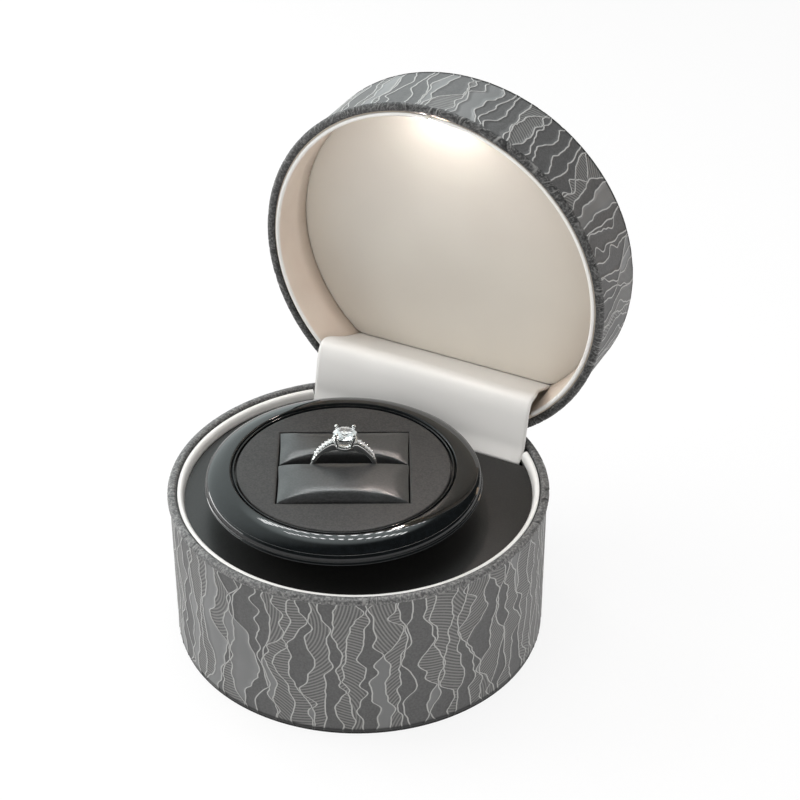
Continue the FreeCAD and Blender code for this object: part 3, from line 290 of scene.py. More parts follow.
def finish(name, colour, roughness, **constants):
    """A material, its nodes, its shader and the object's coordinates.

    Constants are further sockets of the shader, with _ for a space.
    """
    material = bpy.data.materials.new(name)
    material.use_nodes = True
    tree = material.node_tree
    shader = tree.nodes["Principled BSDF"]
    shader.inputs["Base Color"].default_value = paint(colour)
    shader.inputs["Roughness"].default_value = roughness
    for key, value in constants.items():
        shader.inputs[key.replace("_", " ")].default_value = value
    return material, tree, shader, add(tree, "TexCoord").outputs["Object"]


def feed(shader, **outputs):
    """Link the colour, roughness or normal that nodes work out to the shader's own sockets."""
    for key, output in outputs.items():
        shader.id_data.links.new(output, shader.inputs[key.replace("_", " ")])


def per_mm(size):
    """Scale at which a noise on object coordinates has features about `size` mm across."""
    return 0.5 / (size * MM)


def dress(piece, material, body, stands_for=None):
    """Give a new piece its material and its body, and hide the CAD node it replaces."""
    piece.data.materials.append(material)
    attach(piece, body)
    if stands_for:
        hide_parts(stands_for)
    return piece


print("white is", paint("#FFFFFF")[:3])

# %% [markdown]
# ## The embossed wrap
#
# The outside is leatherette: paper-backed PU, embossed with raised wandering lines that run up the
# wall and close long cells between them. Some cells are ribbed, some plain, some satin. An image or
# a bump alone would leave the lines flat, so the sheet's grid follows the lines: each line is its
# own narrow band of quads, raised by a tenth of a millimetre, and each cell knows how it is filled.
# %% Lines of the emboss
WALKS = ((9.5, 0.52), (3.2, 0.24), (1.4, 0.05))
RIDGE_FOOT, RIDGE_CREST, RIDGE_HIGH, PINCHED = 0.26, 0.12, 0.12, 0.6
PER_LINE = 7
UV_UNIT = 100


def ridge_lines(length, levels, spacing, seed):
    """Across place of every line at every level: x_i(h) = sorted(i * spacing + walk_i(h)).

    A walk eases from knot to knot, once coarse, once medium and once fine; a walk's knots are so
    many mm apart and its size is a share of the spacing. Where two lines would cross, sorting makes
    them touch and part again. The first and last three lines calm down towards the sheet's ends.
    """
    draw = np.random.default_rng(seed)
    count = int(round(length / spacing)) + 1
    number = np.arange(count)[:, None]
    walk = np.zeros((count, len(levels)))
    for knot, size in WALKS:
        table = draw.normal(size=(count, int(levels.max() / knot) + 3)) * size * spacing
        place = levels[None, :] / knot + draw.random((count, 1))
        step = place.astype(int)
        t = place - step
        t = t * t * (3 - 2 * t)
        walk += np.take_along_axis(table, step, 1) * (1 - t)
        walk += np.take_along_axis(table, step + 1, 1) * t
    ease = np.clip(np.minimum(number, count - 1 - number) / 3, 0, 1)
    across = np.sort(number * length / (count - 1) + walk * ease, axis=0)
    across[0], across[-1] = 0, length
    return np.clip(across, 0, length)


def emboss_grid(length, levels, spacing, ribbed_share, satin_share, seed):
    """Columns across the sheet, their raised height, and the fill of every face.

    Each line has two feet and two crests, and three columns lie in each cell: seven columns per
    line. The sheet starts on the first line's right crest and ends on the last line's left one. A
    cell ends where its two lines pinch it. Its ribs are rings round a far point, on a bearing close
    to one of two and 16 to 46 mm away.
    """
    lines = ridge_lines(length, levels, spacing, seed)
    gap = np.diff(lines, axis=0)
    side = np.concatenate([gap[:1], gap, gap[-1:]]) / 2
    low_side, high_side = side[:-1], side[1:]
    left = lines - np.minimum(RIDGE_FOOT, low_side)
    right = lines + np.minimum(RIDGE_FOOT, high_side)
    crest_left = lines - np.minimum(RIDGE_CREST, low_side * 0.4)
    crest_right = lines + np.minimum(RIDGE_CREST, high_side * 0.4)
    inner = [right[:-1] * (1 - t) + left[1:] * t for t in (0.25, 0.5, 0.75)]
    spare = [np.concatenate([part, part[-1:]]) for part in inner]
    kept = slice(2, 2 - PER_LINE)
    columns = np.stack([left, crest_left, crest_right, right, *spare], axis=1)
    columns = columns.reshape(-1, len(levels))[kept]
    columns[0], columns[-1] = 0, length
    raised = np.tile([0.0, 1.0, 1.0, 0.0, 0.0, 0.0, 0.0], len(lines))[kept]

    draw = np.random.default_rng(seed + 100)
    pinched = (gap < PINCHED).astype(int)
    cell = np.cumsum(np.abs(np.diff(pinched, axis=1, prepend=pinched[:, :1])), axis=1)
    table = draw.random((len(gap), cell.max() + 1, 4))
    fill = table[np.arange(len(gap))[:, None], cell]
    bearing = math.pi * (np.floor(fill[..., 1] * 2) + 0.22 + 0.56 * fill[..., 3])
    reach = 16 + 30 * fill[..., 2]
    middle = (lines[:-1] + lines[1:]) / 2
    centre = np.stack([middle.mean(axis=1, keepdims=True) + reach * np.cos(bearing),
                       levels.mean() + reach * np.sin(bearing), 0 * reach], axis=-1)
    ribbed = (fill[..., 0] < ribbed_share).astype(float)
    satin = (fill[..., 0] > 1 - satin_share).astype(float)
    to_face = np.minimum((np.arange(len(columns) - 1) + 2) // PER_LINE, len(gap) - 1)
    fills = {"ribbed": ribbed[to_face].T, "satin": satin[to_face].T,
             "rib_centre": centre[to_face].transpose(1, 0, 2)}
    return columns.T, raised, fills


def flat_place(columns, levels):
    """UV of the sheet as it lay flat, in units of 100 mm."""
    return np.stack([columns, np.broadcast_to(levels[:, None], columns.shape)], -1) / UV_UNIT


def wrap_sheet(name, low, high, spacing, ribbed_share, satin_share, seed, on_lid=False):
    """The wrap's wall: point = outline(s) + lift normal, at height h.

    The ground lies 0.1 mm below the outline and the ridges stand above it. The first and last rows
    turn in by 0.55 mm, and the lowest three are marked for a painted dark line of shade along the
    lower edge.
    """
    step, ground, turned_in, shaded_edge_rows = 0.7, -0.1, 0.55, 3
    levels = np.linspace(0, high - low, int((high - low) / step) + 1)
    columns, raised, fills = emboss_grid(ROUND, levels, spacing, ribbed_share, satin_share, seed)
    x, y, nx, ny = d_line(d_share(columns, *WRAP_LINE), *WRAP_LINE)
    lift = ground + RIDGE_HIGH * raised[None, :]
    height = np.broadcast_to((levels + low)[:, None], x.shape)
    wall = np.stack([x + lift * nx, y + lift * ny, height], axis=-1)
    normal = np.stack([nx, ny, 0 * nx], axis=-1)
    points = np.concatenate([wall[:1] - turned_in * normal[:1], wall,
                             wall[-1:] - turned_in * normal[-1:]])
    uv = flat_place(columns, levels)
    uv = np.concatenate([uv[:1], uv, uv[-1:]])
    fills = {key: np.concatenate([v[:1], v[:-1], v[-1:]]) for key, v in fills.items()}
    mark = np.broadcast_to(raised[None, :], points.shape[:2])
    # painted shade: the lowest rows are marked to be painted near black, as the shade along the
    # lower edge
    cut = np.zeros(points.shape[:2])
    cut[:shaded_edge_rows] = 1
    return report(skin(name, swing(points) if on_lid else points, uv=uv,
                       per_point={"ridge": mark, "painted_edge_shade": cut}, per_face=fills))


base_sheet = wrap_sheet("base_wrap_sheet", 0.8, 46.9, 3.5, 0.52, 0.14, seed=11)
lid_sheet = wrap_sheet("lid_wrap_sheet", 49.5, 71.9, 3.2, 0.25, 0.18, seed=23, on_lid=True)

# %% [markdown]
# The lid's flat outer face carries the same sheet. Here the lines run from front to back, and every
# row is held inside the outline, so the sheet ends exactly on the edge and turns down over it.
# %% Sheet on the lid's outer face


def top_sheet():
    """Rows run from front to back: y = clip(h, front(x), back(x)).

    The face rounds down towards the rim: z = top + lift - 0.35 exp(-gap / 0.5), where gap is the
    distance to the nearest edge.
    """
    radius = WRAP_LINE[0]
    spacing, ribbed_share, satin_share, seed = 3.9, 0.4, 0.15, 37
    ground, rounding, fading = -0.1, 0.35, 0.5
    levels = np.linspace(0, radius + WRAP_LINE[1], 134)
    columns, raised, fills = emboss_grid(2 * radius, levels, spacing, ribbed_share, satin_share,
                                         seed)
    x = columns - radius
    front = -np.sqrt(np.clip(radius ** 2 - x ** 2, 0, None))
    edge_x, edge_y, _, _ = d_line(np.linspace(0, 5, 4001), *WRAP_LINE)
    right = (edge_x >= 0) & (edge_y > 0)
    order = np.argsort(edge_x[right])
    back = np.interp(np.abs(x), edge_x[right][order], edge_y[right][order])
    y = np.clip(levels[:, None] - radius, front, np.maximum(back, front))
    gap = np.clip(np.minimum(np.minimum(y - front, back - y), radius - np.abs(x)), 0, None)
    z = LID_TOP + ground + RIDGE_HIGH * raised[None, :] - rounding * np.exp(-gap / fading)
    piece = skin("lid_top_sheet", swing(np.stack([x, y, z], axis=-1)),
                 uv=flat_place(columns, levels),
                 per_point={"ridge": np.broadcast_to(raised[None, :], x.shape)},
                 per_face={key: values[:-1] for key, values in fills.items()})
    with edited(piece.data) as work:
        bmesh.ops.dissolve_degenerate(work, edges=work.edges, dist=0.004 * MM)
    return report(piece)


def top_edge():
    """Strip that joins the top sheet to the wall sheet: a quarter turn, 0.45 mm in by 0.35 up."""
    inward, rise, gap = 0.45, 0.35, 0.06
    share = d_share(np.linspace(0, ROUND, 420, endpoint=False), *WRAP_LINE)
    x, y, nx, ny = d_line(share, *WRAP_LINE)
    turn = np.linspace(0, math.pi / 2, 6)[:, None]
    out = inward * (np.cos(turn) - 1) - gap
    z = LID_TOP - 2 * rise + rise * np.sin(turn) + 0 * x
    points = np.stack([x + out * nx, y + out * ny, z], axis=-1)
    return report(skin("lid_edge_strip", swing(points), around=True))


top_cover, edge_strip = top_sheet(), top_edge()

# %% [markdown]
# ## Leatherette
#
# PU leatherette, embossed between heated rollers: the lines come out light and smooth, the ribs are
# a millimetre apart, and the plain ground keeps a fine grain that dulls it. The ribs are rings
# round a far point of each cell, which is what makes them curve and change direction from cell to
# cell.
# %% Leatherette material
RIB_STEP = 0.95


def leatherette():
    """Embossed PU leatherette: satin cells, ribs, lines and a painted dark line of shade along the
    lower edge lie one over another on a grained ground. A rib's height is the sine of the distance
    from its cell's far point."""
    material, tree, shader, place = finish("embossed_leatherette", "#6B6A68", 0.5, IOR=1.5)
    ridge, ribbed, satin, cut = (add(tree, "Attribute", attribute_name=label).outputs["Fac"]
                                 for label in ("ridge", "ribbed", "satin", "painted_edge_shade"))
    centre = add(tree, "Attribute", attribute_name="rib_centre").outputs["Vector"]
    lay = add(tree, "UVMap").outputs["UV"]
    in_mm = add(tree, "VectorMath", {0: lay, "Scale": UV_UNIT}, operation="SCALE").outputs[0]
    reach = add(tree, "VectorMath", {0: in_mm, 1: centre}, operation="DISTANCE").outputs["Value"]
    turn = add(tree, "Math", {0: reach, 1: 2 * math.pi / RIB_STEP}, operation="MULTIPLY").outputs[0]
    wave = add(tree, "Math", {0: turn}, operation="SINE").outputs[0]
    rib = add(tree, "MapRange", {"Value": wave, "From Min": -0.5, "From Max": 0.9}).outputs[0]
    rib = add(tree, "Math", {0: rib, 1: ribbed}, operation="MULTIPLY").outputs[0]
    line = add(tree, "MapRange", {"Value": ridge, "From Min": 0.15, "From Max": 0.7}).outputs[0]
    # grain of about a third of a millimetre, drawn a little coarse so that it shows
    speckle = add(tree, "TexNoise", {"Vector": place, "Scale": per_mm(0.3), "Detail": 3}).outputs[0]
    cloudy = add(tree, "TexNoise", {"Vector": place, "Scale": per_mm(9.0)}).outputs[0]
    colour = add(tree, "ValToRGB", {0: speckle}, [(0.3, "#474747"), (0.7, "#575757")]).outputs[0]
    sheen = add(tree, "ValToRGB", {0: cloudy}, [(0.3, "#636464"), (0.7, "#6F7070")]).outputs[0]
    # the last layer paints #141414 on the lowest rows: painted shade along the sheet's lower edge
    for share, strength, over in ((satin, 1.0, sheen), (rib, 0.85, paint("#7E7E7C")),
                                  (line, 1.0, paint("#A6A6A4")), (cut, 1.0, paint("#141414"))):
        cover = add(tree, "Math", {0: share, 1: strength}, operation="MULTIPLY").outputs[0]
        colour = add(tree, "Mix", {0: cover, 6: colour, 7: over}, data_type="RGBA").outputs[2]
    smooth = add(tree, "Math", {0: satin, 1: line}, operation="MAXIMUM").outputs[0]
    rough = add(tree, "MapRange", {"Value": smooth, "To Min": 0.52, "To Max": 0.36}).outputs[0]
    dull = add(tree, "Math", {0: speckle, 1: 0.35}, operation="MULTIPLY").outputs[0]
    height = add(tree, "Math", {0: rib, 1: dull}, operation="ADD").outputs[0]
    bump = add(tree, "Bump", {"Height": height, "Distance": 0.06 * MM, "Strength": 0.7})
    feed(shader, Base_Color=colour, Roughness=rough, Normal=bump.outputs[0])
    return material


leather = leatherette()
for piece, body, stands_for in ((base_sheet, "base", "base_wrap"), (lid_sheet, "lid", "lid_wrap"),
                                (top_cover, "lid", "lid_top_cover"), (edge_strip, "lid", None)):
    dress(piece, leather, body, stands_for)
    print("leatherette on", piece.name)

# %% [markdown]
# ## The gathered rim
#
# The wrap is pulled over the rim by hand and glued down, so its edge gathers: slanted pleats a
# millimetre or two apart, and a ragged outer edge. The band is a profile carried round the outline;
# each pleat rises slowly and falls back at once. It leaves out the hinge's notch at the back.
# %% Rim bands
# from the ragged edge up over the rim and down inside: offset from the outline, and height
FOLD = np.array([(-0.9, 0.2), (-0.8, 0.0), (-0.5, -0.05), (-0.2, 0.06), (-0.1, 0.3),
                 (-0.05, 0.6), (-0.1, 0.9), (-0.3, 1.25), (-0.6, 1.5), (-0.9, 1.62),
                 (-1.2, 1.67), (-1.5, 1.68), (-1.8, 1.66), (-2.1, 1.58), (-2.35, 1.4),
                 (-2.5, 1.1), (-2.55, 0.6), (-2.55, -0.6)])
HINGE_NOTCH = 15.9
PLEATS, LEANS, FRAYS, BAND_STEPS = 500, 110, 700, 2100


def band(name, z_edge, z_rim, pleat, seed, on_lid=False):
    """The fold carried round: point = pushed_out(outline, o)(share) pressed in by pleat * f^2.

    f runs from 0 to 1 across each pleat. For each millimetre of the fold the pleats lean by
    0.35 mm, give or take 0.8. They die out on the way down inside, and the edge frays at random.
    """
    draw = np.random.default_rng(seed)
    sign = 1 if z_rim > z_edge else -1
    out, up = FOLD[:, :1], FOLD[:, 1:]
    along = np.concatenate([[0], np.cumsum(np.hypot(*np.diff(FOLD, axis=0).T))])
    length = d_lengths(*BOX_LINE)[-1]
    run = np.linspace(HINGE_NOTCH, length - HINGE_NOTCH, BAND_STEPS)
    t, s = np.meshgrid(along, run, indexing="ij")
    starts = np.cumsum(draw.choice([0.45, 0.8, 1.3, 2.4], PLEATS, p=[0.35, 0.35, 0.2, 0.1]))
    lean = np.interp(run, np.linspace(0, length, LEANS), draw.normal(0.35, 0.8, LEANS))
    phase = np.interp(s + lean * t, starts, np.arange(float(PLEATS)))
    f = phase - np.floor(phase)
    deep = (draw.uniform(0.0, 1.0, PLEATS) ** 2)[np.floor(phase).astype(int)]
    fade = np.clip((4.4 - t) / 1.6, 0, 1)
    press = pleat * deep * f ** 2 * fade
    # painted highlight along each pleat's crest and painted shade in its crease, read by the
    # material
    crest_highlight = np.clip(1.6 * deep * (1 - np.abs(f - 0.16) / 0.2), 0, 1) * fade
    crease = np.clip(1.4 * deep * (f - 0.66) / 0.28, 0, 1)
    ragged = np.interp(run, np.linspace(0, length, FRAYS), draw.normal(0, 0.13, FRAYS))
    fringe = np.clip(0.9 - up, 0, 1) * (out > -1)
    sink = press * (up > 1.4)
    z = z_edge + sign * (up + fringe * (ragged - 1.6 * press) - sink)
    share = d_share(s, *BOX_LINE)
    rows = []
    for row, o in enumerate(FOLD[:, 0]):
        x, y, nx, ny = d_line(share[row], *pushed_out(BOX_LINE, o))
        rows.append(np.stack([x - press[row] * nx, y - press[row] * ny, z[row]], axis=-1))
    points = np.stack(rows)
    return report(skin(name, swing(points) if on_lid else points, flip=sign < 0,
                       per_point={"crest": crest_highlight, "crease": crease}))


base_band = band("base_rim_band", 46.32, RIM, 0.22, seed=3)
lid_band = band("lid_rim_band", 50.08, LID_RIM, 0.34, seed=5, on_lid=True)


def gathered(name, dark, mid, light, highlight_strength):
    """Leatherette pleated and glued by hand, with a painted highlight on each pleat's crest and
    painted shade in its crease.
    """
    material, tree, shader, place = finish(name, mid, 0.55, IOR=1.5)
    # crackle of a third of a millimetre where the film is stretched over the fold
    crackle = add(tree, "TexNoise", {"Vector": place, "Scale": per_mm(0.33), "Detail": 5})
    colour = add(tree, "ValToRGB", {0: crackle.outputs[0]},
                 [(0.38, dark), (0.5, mid), (0.64, light)]).outputs[0]
    # painted highlight on the crests, painted shade in the creases
    for label, strength, over in (("crest", highlight_strength, "#A2A2A0"), ("crease", 0.8, "#161616")):
        mark = add(tree, "Attribute", attribute_name=label).outputs["Fac"]
        cover = add(tree, "Math", {0: mark, 1: strength}, operation="MULTIPLY").outputs[0]
        colour = add(tree, "Mix", {0: cover, 6: colour, 7: paint(over)},
                     data_type="RGBA").outputs[2]
    bump = add(tree, "Bump", {"Height": crackle.outputs[0], "Distance": 0.04 * MM, "Strength": 0.5})
    feed(shader, Base_Color=colour, Normal=bump.outputs[0])
    return material


dress(base_band, gathered("gathered_leatherette", "#484848", "#626262", "#828280", 0.4),
      "base", "base_rim_binding")
# painted shade: the lid's band is the same leatherette painted darker, as the shade on the lid's
# rim
dress(lid_band, gathered("lid_gathered_leatherette_painted_darker", "#262626", "#3E3E3E", "#616160", 0.6),
      "lid", "lid_rim_binding")
print("rim bands:", base_band.name, lid_band.name)

# %% [markdown]
# ## The white liners
#
# Both halves have a vacuum-formed liner of white polystyrene. Its rounded lip catches the light
# just inside the dark rim, and a narrow gap between them reads as a black line. In the base only
# the lip shows above the floor; in the lid the wall runs down to the panel. Both stop beside the
# flap.
# %% Liners


def loop_round(profile, outline, ends, steps=260):
    """A closed (o, z) profile carried along the outline between two shares."""
    share = np.linspace(*ends, steps)
    rows = []
    for o, z in profile:
        x, y, _, _ = d_line(share, *pushed_out(outline, o))
        rows.append(np.stack([x, y, z + 0 * x], axis=-1))
    return np.stack(rows, axis=1)


def base_lip():
    """Half-round lip: a flange over the shell's edge, then down to the floor at 44.6 and back."""
    outline, ends = (51.4, 37.6, 5.0), (1.8, 3.2)
    top = smooth_line([(0.7, 46.92), (0.68, 47.12), (0.4, 47.22), (-0.15, 47.18), (-0.6, 46.9),
                       (-0.95, 46.3), (-1.15, 45.4), (-1.3, 44.62)], 2)
    under = np.array([(-1.25, 44.6), (-1.2, 43.2), (-0.1, 43.2), (-0.05, 46.9)])
    profile = np.concatenate([top, under])
    return report(capped("base_liner_lip", loop_round(profile, outline, ends)))


def lid_lip():
    """Lip at 48.9 and a wall up to 64.3, drawn shut; `wall` rises from 0 to 1 above the lip, and
    marks where the material paints a warm tint for the light bounced from the panel.
    """
    outline, ends = (51.3, 40.1, 5.0), (2.0, 3.0)
    lip_ends, fading = 49.1, 0.6
    lip = smooth_line([(0.75, 49.45), (0.75, 49.1), (0.5, 48.9), (0.15, 48.85), (-0.25, 49.0),
                       (-0.5, 49.4), (-0.6, 50.2), (-0.65, 52.0)], 2)
    deep = np.array([(-0.75, 58.0), (-0.95, 64.3), (0.2, 64.3), (0.3, 58.0), (0.35, 49.5)])
    profile = np.concatenate([lip, deep])
    points = loop_round(profile, outline, ends)
    wall = np.broadcast_to(np.clip((profile[:, 1] - lip_ends) / fading, 0, 1), points.shape[:2])
    return report(capped("lid_liner_lip", swing(points), per_point={"wall": wall}))


def polystyrene():
    """Vacuum-formed white polystyrene: satin, with the faintest orange peel. In the lid its wall is
    painted a warm cream above the lip, standing in for the warm light bounced from the panel."""
    material, tree, shader, place = finish("formed_white_polystyrene", "#EDECE9", 0.32, IOR=1.55)
    cloudy = add(tree, "TexNoise", {"Vector": place, "Scale": per_mm(5.0)}).outputs[0]
    peel = add(tree, "TexNoise", {"Vector": place, "Scale": per_mm(0.6)}).outputs[0]
    lip = add(tree, "ValToRGB", {0: cloudy}, [(0.3, "#E9E8E4"), (0.7, "#F0EFEC")]).outputs[0]
    painted_warm_bounce = add(tree, "ValToRGB", {0: cloudy}, [(0.3, "#DCCDBF"), (0.7, "#E2D5C8")]).outputs[0]
    wall = add(tree, "Attribute", attribute_name="wall").outputs["Fac"]
    # painted bounce light: above the lip the lid's wall is tinted warm cream, as light from the
    # panel
    colour = add(tree, "Mix", {0: wall, 6: lip, 7: painted_warm_bounce}, data_type="RGBA").outputs[2]
    bump = add(tree, "Bump", {"Height": peel, "Distance": 0.015 * MM, "Strength": 0.5})
    feed(shader, Base_Color=colour, Normal=bump.outputs[0])
    return material


white_lip = polystyrene()
dress(base_lip(), white_lip, "base", "base_liner")
dress(lid_lip(), white_lip, "lid", "lid_liner")

# %% [markdown]
# ## The white flap over the hinge
#
# A strip of soft white leatherette hides the hinge. It is glued behind the floor and to the lid's
# panel, stands up in a low crest when the lid is open, and folds inwards as the lid shuts. Here it
# is one sheet, drawn as it stands with the lid open.
# %% Flap


def flap():
    """Strip whose (y, z) line is carried across x; it sags and ripples by a few tenths.

    Its half-width is 35.4 mm, 0.5 less at the foot, and eases in by 2.4 mm between 52 and 78 % of
    the way, where it comes down to the lid's panel.
    """
    rows, columns = 60, 72
    corners = [(34.3, 43.5), (36.6, 47.0), (37.2, 50.5), (38.2, 55.5), (39.2, 59.8), (41.0, 62.6),
               (44.4, 62.6), (49.5, 60.3), (55.5, 57.7), (60.2, 55.85), (61.9, 55.2)]
    line, length = evenly(smooth_line(corners), rows)
    across = np.linspace(-1, 1, columns)
    t = np.linspace(0, 1, rows)[:, None]
    drawn_in = np.clip((t - 0.52) / 0.26, 0, 1)
    half = 35.4 - 0.5 * np.clip(1 - t * 9, 0, 1) - 2.4 * drawn_in ** 2 * (3 - 2 * drawn_in)
    x = half * across[None, :]
    loose = np.sin(math.pi * t) ** 2
    ripple = loose * (0.22 * np.cos(2.3 * across + 0.4) + 0.12 * np.sin(5.1 * across + 3 * t))
    y = line[:, :1] - 0.6 * ripple
    z = line[:, 1:] + 0.8 * ripple
    piece = skin("hinge_flap", np.stack([x, y, z], axis=-1))
    thick = piece.modifiers.new("sheet_thickness", "SOLIDIFY")
    thick.thickness = 0.7 * MM
    thick.offset = -1
    return report(piece), length


flap_sheet, flap_length = flap()
print("flap length:", round(flap_length, 1), "mm")


def flap_leather():
    """White PU leatherette: calendered smooth, with a faint pebble of half a millimetre."""
    material, tree, shader, place = finish("white_leatherette", "#DDDCD9", 0.5, IOR=1.5)
    cloudy = add(tree, "TexNoise", {"Vector": place, "Scale": per_mm(14.0)}).outputs[0]
    pebble = add(tree, "TexNoise", {"Vector": place, "Scale": per_mm(0.5), "Detail": 3}).outputs[0]
    colour = add(tree, "ValToRGB", {0: cloudy}, [(0.3, "#DAD9D6"), (0.7, "#E1E0DD")]).outputs[0]
    bump = add(tree, "Bump", {"Height": pebble, "Distance": 0.02 * MM, "Strength": 0.5})
    feed(shader, Base_Color=colour, Normal=bump.outputs[0])
    return material


flap_sheet.data.materials.append(flap_leather())
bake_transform(flap_sheet)
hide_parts("hinge_cover_flap")

# %% [markdown]
# ## The glossy ring round the table
#
# A moulded ring, lacquered black. Its section is a few corners rounded off by cutting them again
# and again, turned about the table's axis. A turned surface keeps the long clean highlights of
# gloss, which the facets of an imported mesh would break up.
# %% Turned pieces


def turned(name, section, steps=256):
    """Closed surface of revolution: (r cos a, r sin a, z) for each (r, z) of a section that runs
    anticlockwise as seen with r to the right and z up."""
    angle = np.linspace(0, 2 * math.pi, steps, endpoint=False)[None, :]
    r, z = section[:, :1], section[:, 1:]
    points = np.stack([r * np.cos(angle), r * np.sin(angle), z + 0 * angle], axis=-1)
    return report(skin(name, on_table(points), around=True))


dome = smooth_line([(38.85, 53.35), (39.25, 53.4), (39.35, 53.8), (39.05, 54.15), (38.95, 54.4),
                    (39.1, 55.1), (38.7, 56.2), (37.2, 57.4), (34.8, 58.35), (32.4, 58.7),
                    (31.95, 58.62), (31.7, 58.2), (31.68, 57.4), (31.55, 57.2), (31.4, 57.3),
                    (31.38, 58.0), (31.3, 58.4), (31.0, 58.45), (30.82, 58.2), (30.8, 57.4)], 3)
inside = np.array([(30.8, 56.6), (38.4, 56.42), (38.5, 53.5), (38.65, 53.35), (38.85, 53.35)])
bezel = turned("bezel_dome", np.concatenate([dome, inside]))


def lacquer():
    """Black gloss lacquer over a moulding: near-black, slightly blue, mirror smooth."""
    material, tree, shader, place = finish("gloss_black_lacquer", "#0B0D0E", 0.03, IOR=1.5,
                                           Specular_IOR_Level=0.47)
    ripple = add(tree, "TexNoise", {"Vector": place, "Scale": per_mm(7.0)}).outputs[0]
    fleck = add(tree, "TexNoise", {"Vector": place, "Scale": per_mm(0.6)}).outputs[0]
    colour = add(tree, "ValToRGB", {0: fleck}, [(0.4, "#0A0C0D"), (0.7, "#101315")]).outputs[0]
    bump = add(tree, "Bump", {"Height": ripple, "Distance": 0.006 * MM, "Strength": 0.25})
    feed(shader, Base_Color=colour, Normal=bump.outputs[0])
    return material


dress(bezel, lacquer(), "table", "bezel_ring")

# %% [markdown]
# ## The disc inside the ring
#
# A board wrapped in fine-grained charcoal leatherette, with a window for the pads. The rows of the
# grid go from the window's straight edges out to the circle, so both edges stay crisp and both turn
# down softly.
# %% Display disc
HALF_LONG, HALF_WIDE, DISC_TOP, DISC_RADIUS = 18.6, 17.4, 58.3, 30.35


def disc():
    """Ring between a rectangle and a circle: radius = window(a) (1 - t) + circle t + push.

    Each row holds t, push and height. Besides an even share of the angles, five lie close about
    each of the window's corners.
    """
    corner = math.atan2(HALF_WIDE, HALF_LONG)
    corners = np.array([corner, math.pi - corner, math.pi + corner, 2 * math.pi - corner])
    beside = (corners[:, None] + np.radians([-0.4, -0.12, 0.0, 0.12, 0.4])).ravel()
    angle = np.sort(np.concatenate([np.linspace(0, 2 * math.pi, 192, endpoint=False), beside]))
    reach = np.minimum(HALF_LONG / np.maximum(np.abs(np.cos(angle)), 1e-6),
                       HALF_WIDE / np.maximum(np.abs(np.sin(angle)), 1e-6))
    rows = [(0.0, 0.1, -1.7), (0.0, 0.0, -0.6), (0.0, 0.02, -0.3), (0.0, 0.12, -0.1),
            (0.0, 0.35, -0.02), (0.0, 1.0, 0.0)]
    rows += [(t, 0.0, 0.0) for t in np.linspace(0.3, 0.88, 10)]
    rows += [(1.0, -0.5, 0.0), (1.0, -0.22, -0.04), (1.0, -0.06, -0.18), (1.0, 0.0, -0.4),
             (1.0, 0.0, -1.7)]
    share, push, z = np.array(rows).T[:, :, None]
    z = z + DISC_TOP
    radius = (reach * (1 - share) + DISC_RADIUS * share) + push
    points = np.stack([radius * np.cos(angle), radius * np.sin(angle), z + 0 * angle], axis=-1)
    return report(skin("display_cloth_disc", on_table(points), around=True, flip=True))


def grained_leatherette(name, colour, gloss, smooth, rough, stops, cloudiness=0.0):
    """Satin PU leatherette on a board: fine sand grain, with lighter flecks where it is rubbed."""
    material, tree, shader, place = finish(name, colour, rough, IOR=1.5, Specular_IOR_Level=gloss)
    # grain of a quarter of a millimetre
    sand = add(tree, "TexNoise", {"Vector": place, "Scale": per_mm(0.25), "Detail": 3}).outputs[0]
    cloudy = add(tree, "TexNoise", {"Vector": place, "Scale": per_mm(12.0)}).outputs[0]
    both = add(tree, "Math", {0: cloudy, 1: cloudiness, 2: sand},
               operation="MULTIPLY_ADD").outputs[0]
    tone = add(tree, "ValToRGB", {0: both}, stops).outputs[0]
    spread = add(tree, "MapRange", {"Value": sand, "To Min": smooth, "To Max": rough}).outputs[0]
    bump = add(tree, "Bump", {"Height": sand, "Distance": 0.03 * MM, "Strength": 0.5})
    feed(shader, Base_Color=tone, Roughness=spread, Normal=bump.outputs[0])
    return material


charcoal = grained_leatherette("charcoal_grained_leatherette", "#3E3D3B", 0.17, 0.36, 0.52,
                               [(0.5, "#2C2C2C"), (0.85, "#3F3E3D")], cloudiness=0.35)
dress(disc(), charcoal, "table", "display_disc")

# %% [markdown]
# ## The two pads
#
# Foam covered in thin leatherette. Each pad is held at its corners and swells between them, so its
# sides pull in and its top crowns. This start shape gives corners, rolled edges and crown.
# %% Pads
PAD_FOOT, PAD_TOP, PAD_HALF, PAD_FAR, CORNER_ROLL = 49, 58.0, 18.6, 17.3, 0.25


